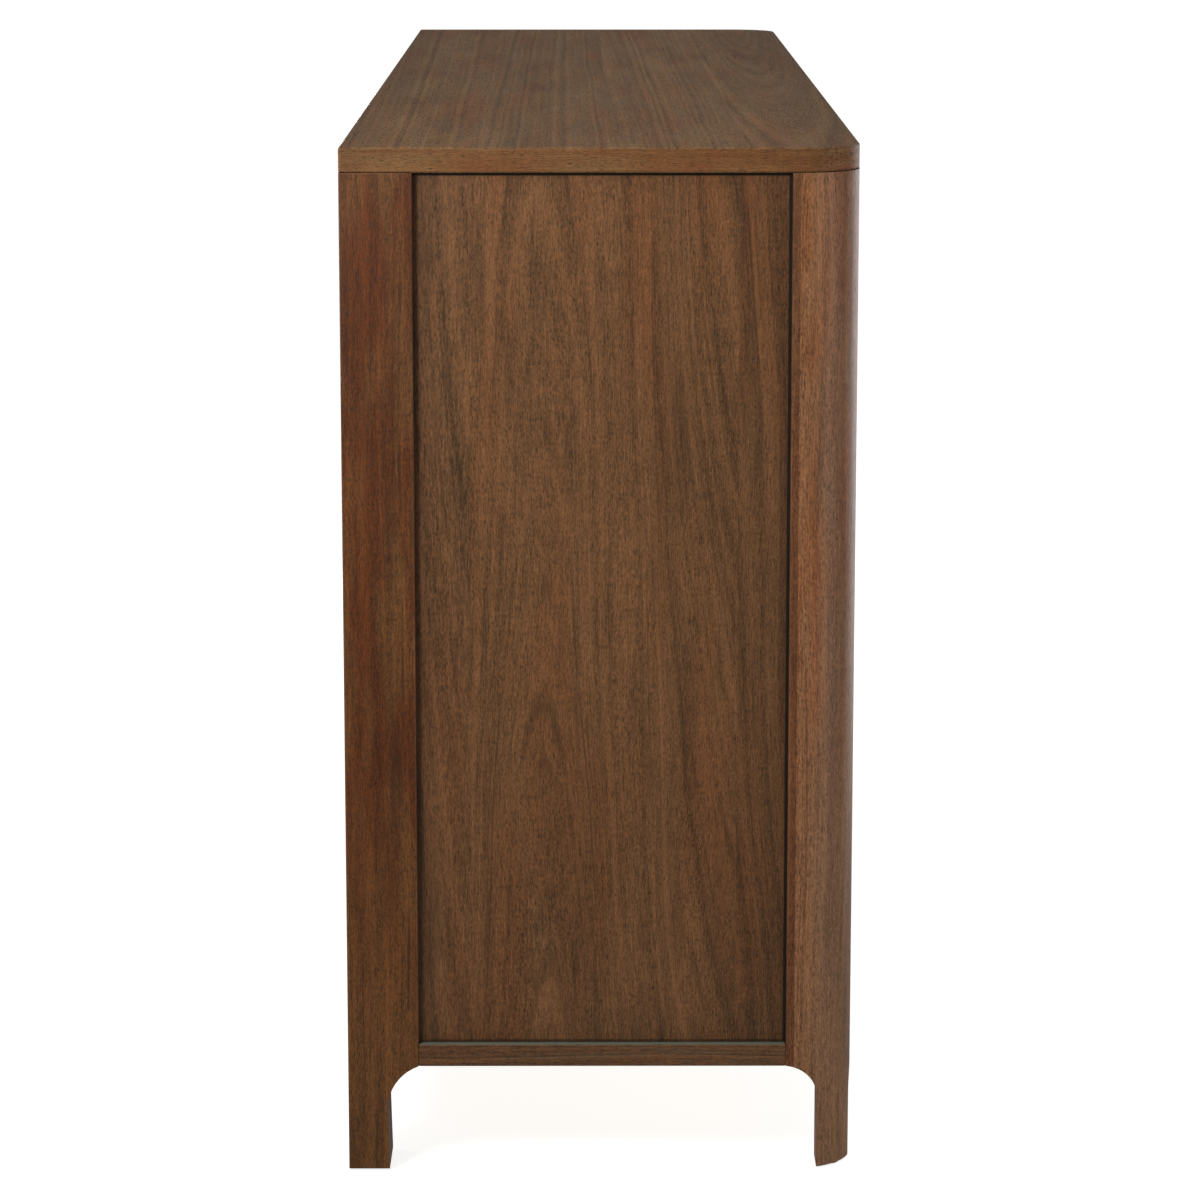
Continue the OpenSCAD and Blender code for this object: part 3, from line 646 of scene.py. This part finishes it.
def top_tone(yellower, redder):
    """Leaf tones and yellower streaks on the veneer, and redder streaks on the solid lipping round it."""

    def tone(tree):
        grain = streaks(tree, board_place(tree, "YZX"), 4, 190, detail=3.0, seed=73)
        yellow = add(tree, "ShaderNodeMapRange", {"Value": grain, "From Min": 0.4, "From Max": 0.6})
        feeds = {"Factor_Float": yellow, "A_Color": TOP_LAYUP.tone(tree), "B_Color": opaque(yellower)}
        veneer = add(tree, "ShaderNodeMix", feeds, data_type="RGBA", blend_type="MULTIPLY")
        grain = streaks(tree, along_lipping(tree), 8, 80, detail=4.0, seed=71)
        red = add(tree, "ShaderNodeMapRange", {"Value": grain, "From Min": 0.4, "From Max": 0.6})
        feeds = {"Factor_Float": red, "A_Color": UNSTAINED, "B_Color": opaque(redder)}
        lipping = add(tree, "ShaderNodeMix", feeds, data_type="RGBA")
        feeds = {"Factor_Float": on_lipping(tree), "A_Color": veneer, "B_Color": lipping}
        return add(tree, "ShaderNodeMix", feeds, data_type="RGBA")

    return tone


def heartwood(kept, starts, full, spread, seed):
    """Redder heartwood in patches. kept is what it keeps of the stain, and it sets in between two heights."""

    def tone(tree):
        parts = add(tree, "ShaderNodeSeparateXYZ", {0: add(tree, "ShaderNodeTexCoord").outputs["Object"]})
        feeds = {"Value": parts.outputs["Z"], "From Min": starts, "From Max": full}
        height = add(tree, "ShaderNodeMapRange", feeds)
        grain = streaks(tree, board_place(tree, "YXZ"), 24, 170, detail=2.0, seed=seed)
        feeds = {"Value": grain, "From Min": spread, "From Max": spread + 0.16}
        patch = add(tree, "ShaderNodeMapRange", feeds)
        both = add(tree, "ShaderNodeMath", {0: height, 1: patch}, operation="MULTIPLY")
        feeds = {"Factor_Float": both, "A_Color": UNSTAINED, "B_Color": opaque(kept)}
        return add(tree, "ShaderNodeMix", feeds, data_type="RGBA")

    return tone


def darker_strip(rest, kept, width):
    """The strip of a front post beside the end panel is darker. rest tones the rest."""

    def tone(tree):
        parts = add(tree, "ShaderNodeSeparateXYZ", {0: add(tree, "ShaderNodeTexCoord").outputs["Object"]})
        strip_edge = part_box("left_front_post")[1].y - width * MM
        strip = add(tree, "ShaderNodeMath", {0: parts.outputs["Y"], 1: strip_edge}, operation="GREATER_THAN")
        feeds = {"Factor_Float": strip, "A_Color": rest(tree), "B_Color": opaque(kept)}
        return add(tree, "ShaderNodeMix", feeds, data_type="RGBA")

    return tone


def zinc_steel(name, tint, rough, grain):
    """Cold-rolled steel with an electroplated zinc coat: bright and slightly mottled, with rolling lines."""
    material, tree = new_material(name)
    place = board_place(tree, grain)
    # Rolling lines are really about 0.05 mm apart, and are drawn coarser so that they show
    lines = streaks(tree, place, 0.6, 40, detail=2.0)
    mottle = streaks(tree, place, 9, 14, detail=3.0, seed=5)
    bright = add(tree, "ShaderNodeMapRange", {"Value": mottle, "From Min": 0.3, "From Max": 0.7})
    feeds = {"Factor_Float": bright, "A_Color": opaque([c * 0.82 for c in tint]), "B_Color": opaque(tint)}
    base = add(tree, "ShaderNodeMix", feeds, data_type="RGBA")
    dull = add(tree, "ShaderNodeMath", {0: mottle, 1: 0.18, 2: rough}, operation="MULTIPLY_ADD")
    bump = add(tree, "ShaderNodeBump", {"Strength": 0.2, "Distance": 0.02 * MM, "Height": lines})
    feeds = {"Base Color": base, "Metallic": 1.0, "Roughness": dull, "Normal": bump}
    shader = add(tree, "ShaderNodeBsdfPrincipled", feeds)
    add(tree, "ShaderNodeOutputMaterial", {"Surface": shader})
    return material


def moulded_nylon(name, tint, dusty):
    """Injection-moulded nylon: matt, with a fine spark-eroded grain and scuffs on the face that slides."""
    material, tree = new_material(name)
    place = board_place(tree, "XYZ")
    # The spark-eroded grain is really about 0.1 mm, and is drawn coarser so that it shows
    grit = streaks(tree, place, 0.5, 0.5, detail=2.0)
    scuff = streaks(tree, place, 2, 2, detail=3.0, seed=9)
    feeds = {"Value": scuff, "From Min": 0.5, "From Max": 0.75, "To Max": 0.4}
    rubbed = add(tree, "ShaderNodeMapRange", feeds)
    feeds = {"Factor_Float": rubbed, "A_Color": opaque(tint), "B_Color": opaque(dusty)}
    base = add(tree, "ShaderNodeMix", feeds, data_type="RGBA")
    bump = add(tree, "ShaderNodeBump", {"Strength": 0.3, "Distance": 0.05 * MM, "Height": grit})
    feeds = {"Base Color": base, "Roughness": 0.55, "IOR": 1.53, "Normal": bump}
    shader = add(tree, "ShaderNodeBsdfPrincipled", feeds)
    add(tree, "ShaderNodeOutputMaterial", {"Surface": shader})
    return material


# Meshes and placing


def give(material, *nodes):
    """Puts a finish on the material slots of CAD nodes."""
    for name in nodes:
        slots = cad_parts[name].material_slots
        if not slots:
            raise RuntimeError(f"{name} has no material slot")
        for slot in slots:
            slot.material = material


def settings_of(context):
    return context.scene.dresser


def new_object(name, bm, material, body, smooth_below=30):
    """Makes the mesh an object of the dresser that rides on a body."""
    mesh = bpy.data.meshes.new(name)
    bm.to_mesh(mesh)
    bm.free()
    piece = bpy.data.objects.new(name, mesh)
    bpy.context.scene.collection.objects.link(piece)
    mesh.materials.append(material)
    mesh.shade_smooth()
    mesh.set_sharp_from_angle(angle=math.radians(smooth_below))
    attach(piece, body)
    return piece


def grow(start):
    """Every vertex of the solid that start belongs to."""
    found = {start}
    waiting = [start]
    while waiting:
        for edge in waiting.pop().link_edges:
            for vert in edge.verts:
                if vert not in found:
                    found.add(vert)
                    waiting.append(vert)
    return found


def boards_of(node, long_axis):
    """A copy of those boards of a CAD node that are longest along an axis, as clean flat-sided solids."""
    weld = 0.005 * MM
    flat = math.radians(0.5)
    bm = bmesh.new()
    bm.from_mesh(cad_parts[node].data)
    bmesh.ops.remove_doubles(bm, verts=bm.verts, dist=weld)
    bmesh.ops.dissolve_limit(bm, angle_limit=flat, verts=bm.verts, edges=bm.edges)
    unseen = set(bm.verts)
    others = []
    while unseen:
        board = grow(unseen.pop())
        unseen -= board
        spans = [max(v.co[k] for v in board) - min(v.co[k] for v in board) for k in range(3)]
        if spans.index(max(spans)) != long_axis:
            others.extend(board)
    bmesh.ops.delete(bm, geom=others, context="VERTS")
    return bm


def ease_top_edges(bm, radius, axis):
    """Rounds the long upper edges of boards."""
    shortest = 100 * MM
    top = max(v.co.z for v in bm.verts) - 0.01 * MM
    edges = []
    for edge in bm.edges:
        a, b = (v.co for v in edge.verts)
        if min(a.z, b.z) > top and abs(a[axis] - b[axis]) > shortest:
            edges.append(edge)
    if not edges:
        raise RuntimeError("the boards have no long upper edge")
    bmesh.ops.bevel(bm, geom=edges, offset=radius, segments=3, affect="EDGES", profile=0.5)


def closed(ring):
    """Each corner of a ring with the one after it."""
    return zip(ring, ring[1:] + ring[:1])


def pan_head(bm, place, outward, hardware):
    """Adds a pan-head screw with a cross recess, its underside at place."""
    steps = 24
    radius = hardware.head_width / 2
    height = hardware.head_height
    slot = hardware.cross_width / 2
    arm = radius * 0.55
    crown_at = height * 0.95
    depth = height * 0.45
    profile = (
        (radius, 0.0),
        (radius, height * 0.35),
        (radius * 0.93, height * 0.72),
        (radius * 0.75, crown_at),
    )
    rings = []
    for r, z in profile:
        ring = []
        for step in range(steps):
            angle = math.tau * step / steps
            ring.append(bm.verts.new((r * math.cos(angle), r * math.sin(angle), z)))
        rings.append(ring)
    for low, high in zip(rings, rings[1:]):
        for (a, b), (d, c) in zip(closed(low), closed(high)):
            bm.faces.new((a, b, c, d))
    bm.faces.new(list(reversed(rings[0])))

    # The cross: twelve corners at the crown, and the same drawn in at its floor
    corners = []
    for quarter in range(4):
        c = math.cos(math.tau * quarter / 4)
        s = math.sin(math.tau * quarter / 4)
        for x, y in ((slot, -slot), (arm, -slot), (arm, slot)):
            corners.append((c * x - s * y, s * x + c * y))
    crown = [bm.verts.new((x, y, crown_at)) for x, y in corners]
    floor = [bm.verts.new((x * 0.7, y * 0.7, crown_at - depth)) for x, y in corners]
    for (a, b), (d, c) in zip(closed(crown), closed(floor)):
        bm.faces.new((b, a, d, c))
    bm.faces.new(floor)
    edges = [bm.edges.get(pair) for ring in (rings[-1], crown) for pair in closed(ring)]
    bmesh.ops.triangle_fill(bm, edges=edges, use_beauty=True)
    new = [v for ring in rings for v in ring] + crown + floor
    turn = outward.to_track_quat("Z", "Y").to_matrix().to_4x4()
    bmesh.ops.transform(bm, matrix=Matrix.Translation(place) @ turn, verts=new)


# Operators, one for each piece or group of like pieces


class DRESSER_OT_top(bpy.types.Operator):
    """Finish the top board: veneer along its length and a lipping round its edge"""

    bl_idname = "dresser.top"
    bl_label = "Top board"

    def execute(self, context):
        look = settings_of(context).walnut
        low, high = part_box("top_board")
        # Darker in patches towards the back and front edges of the top
        shade = glaze_left((Edge("Y", high.y, -1, 50, 0.3), Edge("Y", low.y, 1, 90, 0.36)))
        material = walnut(
            "walnut_veneer_satin_lacquer_top", "YZX", look, "top",
            place=top_place, tone=top_tone(look.top_streak, look.lipping_streak),
            wander=TOP_LAYUP.wander, figure=TOP_LAYUP.figure, shade=shade, seed=2.0, ring=5,
            late=0.12, banding=0.2, pores=0.8, flush=0.7, gloss=0.16, sheen=0.0, smoke=0.2,
        )
        give(material, "top_board")
        return {"FINISHED"}


class DRESSER_OT_posts(bpy.types.Operator):
    """Finish the four corner posts, whose grain runs upright down into the feet"""

    bl_idname = "dresser.posts"
    bl_label = "Corner posts"

    def execute(self, context):
        look = settings_of(context).walnut
        front = walnut(
            "solid_walnut_satin_lacquer_front_post", "YXZ", look, "front_post",
            tone=darker_strip(heartwood(look.front_heart, 0.3, 0.5, 0.4, 67), look.strip, 7),
            shade=foot_scuffs, seed=4.0, ring=9, late=0.45, smoke=0.22,
        )
        give(front, "left_front_post", "right_front_post")
        back = walnut(
            "solid_walnut_satin_lacquer_back_post", "YXZ", look, "back_post",
            tone=heartwood(look.back_heart, 0.1, 0.36, 0.38, 61), shade=foot_scuffs, seed=6.0, ring=12,
        )
        give(back, "left_back_post", "right_back_post")
        return {"FINISHED"}


class DRESSER_OT_end_panels(bpy.types.Operator):
    """Finish the two end panels: four upright leaves of veneer, with glaze and painted shade near the edges
    """

    bl_idname = "dresser.end_panels"
    bl_label = "End panels"

    def execute(self, context):
        look = settings_of(context).walnut
        low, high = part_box("left_end_panel")
        groove = 8 * MM
        back, front, bottom = high.y - groove, low.y + groove, low.z + groove
        layup = Layup(PANEL_LEAVES, back / MM, "YXZ", 431)
        # Darker in patches along the edges, partly glaze and partly painted shade: most beside the back post,
        # where its shadow falls, less beside the front post and above the rail
        haze = (Edge("Y", back, -1, 24, 0.6), Edge("Y", front, 1, 26, 0.3), Edge("Z", bottom, 1, 60, 0.16))
        # Painted shade: nearly black lines in the gaps beside the front post, under the top and above the
        # rail, and a faint one beside the back post
        corners = (
            Edge("Y", back, -1, 1.2, 0.15),
            Edge("Y", front, 1, 2.4, 1.0),
            Edge("Z", high.z, -1, 2.3, 1.0),
            Edge("Z", bottom, 1, 2.2, 0.7),
        )
        material = walnut(
            "walnut_veneer_satin_lacquer_end_panel", "YXZ", look, "panel",
            place=layup.place, tone=layup.tone, wander=layup.wander, figure=layup.figure,
            shade=glaze_left(haze, corners), seed=8.0, rubbed=None, late=0.5, smoke=0.3,
        )
        give(material, "left_end_panel", "right_end_panel")
        return {"FINISHED"}


class DRESSER_OT_rails(bpy.types.Operator):
    """Finish the rails, the stile, the muntin and the centre feet"""

    bl_idname = "dresser.rails"
    bl_label = "Rails and stile"

    def execute(self, context):
        look = settings_of(context).walnut
        # The end rails' up-facing faces, such as the narrow ledge, get a painted reflection, an even
        # grey-green sheen; the same colour also tints their smoky streaks
        along_depth = walnut(
            "solid_walnut_satin_lacquer_end_rail", "ZXY", look, "rail",
            seed=12.0, rubbed=None, shade=paint_ledge_reflection, glaze=look.ledge_reflection, smoke=0.2,
        )
        give(along_depth, "left_end_rail", "right_end_rail")
        along_length = walnut("solid_walnut_satin_lacquer_front_rail", "ZYX", look, "rail", seed=14.0)
        give(along_length, "front_top_rail", "front_bottom_rail", "divider_rails")
        give(along_length, "back_top_rail", "back_bottom_rail")
        upright = walnut(
            "solid_walnut_satin_lacquer_stile", "XYZ", look, "rail", seed=16.0, shade=foot_scuffs
        )
        give(upright, "centre_stile", "back_muntin", "centre_feet")
        return {"FINISHED"}


class DRESSER_OT_drawer_fronts(bpy.types.Operator):
    """Finish the six drawer fronts from one run of veneer, so that the figure carries across each row"""

    bl_idname = "dresser.drawer_fronts"
    bl_label = "Drawer fronts"

    def execute(self, context):
        look = settings_of(context).walnut
        low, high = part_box("top_left_drawer_front")
        over_top = 10
        layup = Layup(FRONT_LEAVES, high.z / MM + over_top, "ZYX", 517)
        material = walnut(
            "walnut_veneer_satin_lacquer_drawer_front", "ZYX", look, "panel",
            place=layup.place, tone=layup.tone, wander=layup.wander, figure=layup.figure,
            seed=20.0, ring=8,
        )
        give(material, *[drawer + "_front" for drawer in DRAWERS])
        return {"FINISHED"}


class DRESSER_OT_drawer_boxes(bpy.types.Operator):
    """Build the dovetailed drawer boxes board by board, each with its own grain and eased top edges"""

    bl_idname = "dresser.drawer_boxes"
    bl_label = "Drawer boxes"

    def execute(self, context):
        look = settings_of(context).inner_wood
        ease = settings_of(context).hardware.ease
        for part, axis, axes, seed in (("sides", 1, "ZXY", 24.0), ("ends", 0, "ZYX", 26.0)):
            name = "solid_maple_clear_lacquer_drawer_" + part
            material = pale_wood(name, axes, look.maple_light, look.maple_dark, seed=seed)
            for drawer in DRAWERS:
                bm = boards_of(drawer + "_box", axis)
                ease_top_edges(bm, ease, axis)
                piece = new_object(f"{drawer}_{part}", bm, material, drawer)
                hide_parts(drawer + "_box")
        return {"FINISHED"}


class DRESSER_OT_inner_boards(bpy.types.Operator):
    """Finish what is inside the case: floors, base, partition, blocks, cleats and the back panels"""

    bl_idname = "dresser.inner_boards"
    bl_label = "Inner boards"

    def execute(self, context):
        look = settings_of(context).inner_wood
        birch = (look.birch_light, look.birch_dark)
        poplar = (look.poplar_light, look.poplar_dark)
        rotary_cut = {"ring": 26, "wander": 140, "pores": 0.12}
        floors = pale_wood("birch_plywood_clear_lacquer_floor", "YZX", *birch, seed=30.0, **rotary_cut)
        give(floors, "base_panel", *[drawer + "_floor" for drawer in DRAWERS])
        upright = pale_wood("birch_plywood_clear_lacquer_partition", "YXZ", *birch, seed=32.0, **rotary_cut)
        give(upright, "centre_partition")
        along_length = pale_wood("planed_poplar_along_length", "ZYX", *poplar, seed=34.0)
        give(along_length, "corner_blocks")
        along_depth = pale_wood("planed_poplar_along_depth", "ZXY", *poplar, seed=36.0)
        give(along_depth, "runner_cleats", "left_end_top_rail", "right_end_top_rail")
        backs = pale_wood(
            "stained_plywood_back", "XYZ", look.back_light, look.back_dark,
            ring=22, wander=120, pores=0.3, seed=38.0,
        )
        give(backs, "left_back_panel", "right_back_panel")
        return {"FINISHED"}


class DRESSER_OT_runners(bpy.types.Operator):
    """Finish the drawer runners, the screws that hold the top, and the foot glides"""

    bl_idname = "dresser.runners"
    bl_label = "Runners, screws and glides"

    def execute(self, context):
        hardware = settings_of(context).hardware
        runners = [drawer + member for drawer in DRAWERS for member in ("_runners", "_middle_runners")]
        give(zinc_steel("zinc_plated_steel_runner", hardware.runner, 0.38, "XZY"), "case_runners", *runners)
        give(zinc_steel("yellow_zinc_steel_screw", hardware.screw, 0.3, "XYZ"), "top_screws")
        give(moulded_nylon("moulded_nylon_glide", hardware.glide, hardware.scuff), "foot_glides")
        return {"FINISHED"}


class DRESSER_OT_drawer_screws(bpy.types.Operator):
    """Add the pan-head screws that hold each drawer's front and its runner members to the box"""

    bl_idname = "dresser.drawer_screws"
    bl_label = "Drawer screws"

    def execute(self, context):
        hardware = settings_of(context).hardware
        material = zinc_steel("zinc_plated_steel_pan_head", hardware.runner, 0.28, "XYZ")
        board = hardware.box_board
        web = hardware.runner_metal
        inset = hardware.runner_hole_inset
        for drawer in DRAWERS:
            box_low, box_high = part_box(drawer + "_box")
            runner_low, runner_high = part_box(drawer + "_runners")
            span = box_high - box_low
            bm = bmesh.new()
            for across in (0.12, 0.88):
                for up in (0.3, 0.78):
                    place = box_low + Vector((across * span.x, board, up * span.z))
                    pan_head(bm, place, Vector((0, 1, 0)), hardware)
            new_object(drawer + "_front_screws", bm, material, drawer)
            bm = bmesh.new()
            for x, outward in ((box_low.x - web, -1), (box_high.x + web, 1)):
                for y in (runner_low.y + inset, runner_high.y - inset):
                    place = Vector((x, y, (runner_low.z + runner_high.z) / 2))
                    pan_head(bm, place, Vector((outward, 0, 0)), hardware)
            new_object(drawer + "_runner_screws", bm, material, drawer)
        return {"FINISHED"}


class DRESSER_OT_stage(bpy.types.Operator):
    """Lay the pale floor, hang the soft lights and set the camera"""

    bl_idname = "dresser.stage"
    bl_label = "Stage"

    # Where the camera stands and looks, in metres, fitted to the outline in the photograph
    CAMERA = Vector((-4.5608, 0.0111, 1.2135))
    AIM = Vector((-0.915, 0.0006, 0.5199))
    SENSOR_MM = 36
    FLOOR_HALF = 60
    BACKDROP_RADIUS = 50
    SEES_FARTHEST = 200

    def lay(self, name, bm, material):
        """Puts a mesh of the studio in the scene."""
        mesh = bpy.data.meshes.new(name)
        bm.to_mesh(mesh)
        bm.free()
        mesh.materials.append(material)
        piece = bpy.data.objects.new(name, mesh)
        bpy.context.scene.collection.objects.link(piece)
        # Neither throws light on the dresser: the world and the lamps do
        piece.visible_diffuse = False
        piece.visible_glossy = False
        return piece

    def lay_floor(self, studio):
        """Pale matt paint, lit so evenly that it glows: nearly white, with a faint shadow by the feet."""
        bm = bmesh.new()
        bmesh.ops.create_grid(bm, x_segments=8, y_segments=8, size=self.FLOOR_HALF)
        material, tree = new_material("painted_studio_floor")
        shader = add(
            tree,
            "ShaderNodeBsdfPrincipled",
            {
                "Base Color": opaque(studio.floor),
                "Roughness": 0.9,
                "Specular IOR Level": 0.1,
                "Emission Color": (1, 1, 1, 1),
                "Emission Strength": studio.floor_glow,
            },
        )
        add(tree, "ShaderNodeOutputMaterial", {"Surface": shader})
        self.lay("floor", bm, material)

    def hang_backdrop(self, studio):
        """White paper all round, lit evenly: no fold or corner shows behind the dresser."""
        bm = bmesh.new()
        bmesh.ops.create_icosphere(bm, subdivisions=4, radius=self.BACKDROP_RADIUS)
        material, tree = new_material("lit_white_backdrop")
        paper = add(tree, "ShaderNodeEmission", {"Color": (1, 1, 1, 1), "Strength": studio.backdrop})
        add(tree, "ShaderNodeOutputMaterial", {"Surface": paper})
        backdrop = self.lay("backdrop", bm, material)
        backdrop.visible_transmission = False
        backdrop.visible_shadow = False
        backdrop.visible_volume_scatter = False

    def hang_lights(self, studio):
        near_end = Vector((CAD_BOX[0].x, 0.0, CAD_BOX[1].z * 0.8))
        far_end = Vector((CAD_BOX[1].x, 0.0, CAD_BOX[1].z * 0.8))
        back = Vector((0.0, CAD_BOX[1].y, CAD_BOX[1].z * 0.5))
        warm = studio.warm
        white = (1.0, 1.0, 1.0)
        # What each light shines on, where it stands from there and how wide it is, in metres, its power and
        # its tint. The last two stand lower than the top, and light only what the camera doesn't see
        lights = (
            ("key", near_end, (-1.05, 0.85, 0.58), 0.4, studio.key_power, warm),
            ("fill", near_end, (-1.1, -2.6, -0.1), 2.0, studio.fill_power, studio.cool),
            ("overhead", near_end, (0.3, 0.0, 1.9), 1.8, studio.top_power, white),
            ("rim", near_end, (3.2, -2.9, 0.2), 3.0, studio.rim_power, white),
            ("far", far_end, (1.3, 0.6, -0.1), 0.4, studio.far_power, warm),
            ("back", back, (0.4, 2.8, 0.1), 0.8, studio.back_power, warm),
        )
        for name, aim, offset, size, watts, tint in lights:
            data = bpy.data.lights.new(name, "AREA")
            data.shape = "SQUARE"
            data.size = size
            data.energy = watts
            data.color = tint
            lamp = bpy.data.objects.new(name, data)
            lamp.location = aim + Vector(offset)
            lamp.visible_camera = False
            lamp.rotation_mode = "QUATERNION"
            lamp.rotation_quaternion = (-Vector(offset)).to_track_quat("-Z", "Y")
            bpy.context.scene.collection.objects.link(lamp)

    def light_room(self, scene, studio):
        """A white room whose ceiling and floor are bright and whose walls are dim."""
        wall, ceiling = 0.25, 0.8
        scene.world = bpy.data.worlds.new("white_room")
        scene.world.use_nodes = True
        sky = scene.world.node_tree
        sky.nodes.clear()
        ways = add(sky, "ShaderNodeSeparateXYZ", {0: add(sky, "ShaderNodeTexCoord").outputs["Generated"]})
        steep = add(sky, "ShaderNodeMath", {0: ways.outputs["Z"]}, operation="ABSOLUTE")
        feeds = {
            "Value": steep,
            "From Min": wall,
            "From Max": ceiling,
            "To Min": studio.room * 0.07,
            "To Max": studio.room,
        }
        level = add(sky, "ShaderNodeMapRange", feeds)
        glow = add(sky, "ShaderNodeBackground", {"Color": (1, 1, 1, 1), "Strength": level})
        add(sky, "ShaderNodeOutputWorld", {"Surface": glow})

    def set_camera(self, scene, studio):
        camera = bpy.data.cameras.new("camera")
        camera.lens = studio.lens
        camera.sensor_width = self.SENSOR_MM
        camera.clip_end = self.SEES_FARTHEST
        holder = bpy.data.objects.new("camera", camera)
        holder.location = self.CAMERA
        holder.rotation_mode = "QUATERNION"
        holder.rotation_quaternion = (self.AIM - self.CAMERA).to_track_quat("-Z", "Y")
        scene.collection.objects.link(holder)
        scene.camera = holder
        scene.view_settings.view_transform = "Standard"

    def execute(self, context):
        studio = settings_of(context).studio
        self.lay_floor(studio)
        self.hang_backdrop(studio)
        self.hang_lights(studio)
        self.light_room(context.scene, studio)
        self.set_camera(context.scene, studio)
        return {"FINISHED"}


class DRESSER_PT_sidebar(bpy.types.Panel):
    """Steps that finish the dresser, and the values that they use"""

    bl_idname = "DRESSER_PT_sidebar"
    bl_label = "Walnut dresser"
    bl_space_type = "VIEW_3D"
    bl_region_type = "UI"
    bl_category = "Dresser"

    def draw(self, context):
        settings = settings_of(context)
        for operator in STEPS:
            self.layout.operator(operator.bl_idname)
        for group in (settings.walnut, settings.inner_wood, settings.hardware, settings.studio):
            box = self.layout.box()
            for name in group.bl_rna.properties.keys():
                if name not in ("rna_type", "name"):
                    box.prop(group, name)


STEPS = (
    DRESSER_OT_top,
    DRESSER_OT_posts,
    DRESSER_OT_end_panels,
    DRESSER_OT_rails,
    DRESSER_OT_drawer_fronts,
    DRESSER_OT_drawer_boxes,
    DRESSER_OT_inner_boards,
    DRESSER_OT_runners,
    DRESSER_OT_drawer_screws,
    DRESSER_OT_stage,
)
GROUPS = (
    DRESSER_PG_walnut,
    DRESSER_PG_inner_wood,
    DRESSER_PG_hardware,
    DRESSER_PG_studio,
    DRESSER_PG_settings,
)
CLASSES = (*GROUPS, *STEPS, DRESSER_PT_sidebar)


def register():
    for cls in CLASSES:
        bpy.utils.register_class(cls)
    bpy.types.Scene.dresser = bpy.props.PointerProperty(type=DRESSER_PG_settings)


def unregister():
    del bpy.types.Scene.dresser
    for cls in reversed(CLASSES):
        bpy.utils.unregister_class(cls)


def main():
    register()
    for step in STEPS:
        family, name = step.bl_idname.split(".")
        getattr(getattr(bpy.ops, family), name)()


if __name__ == "__main__":
    main()
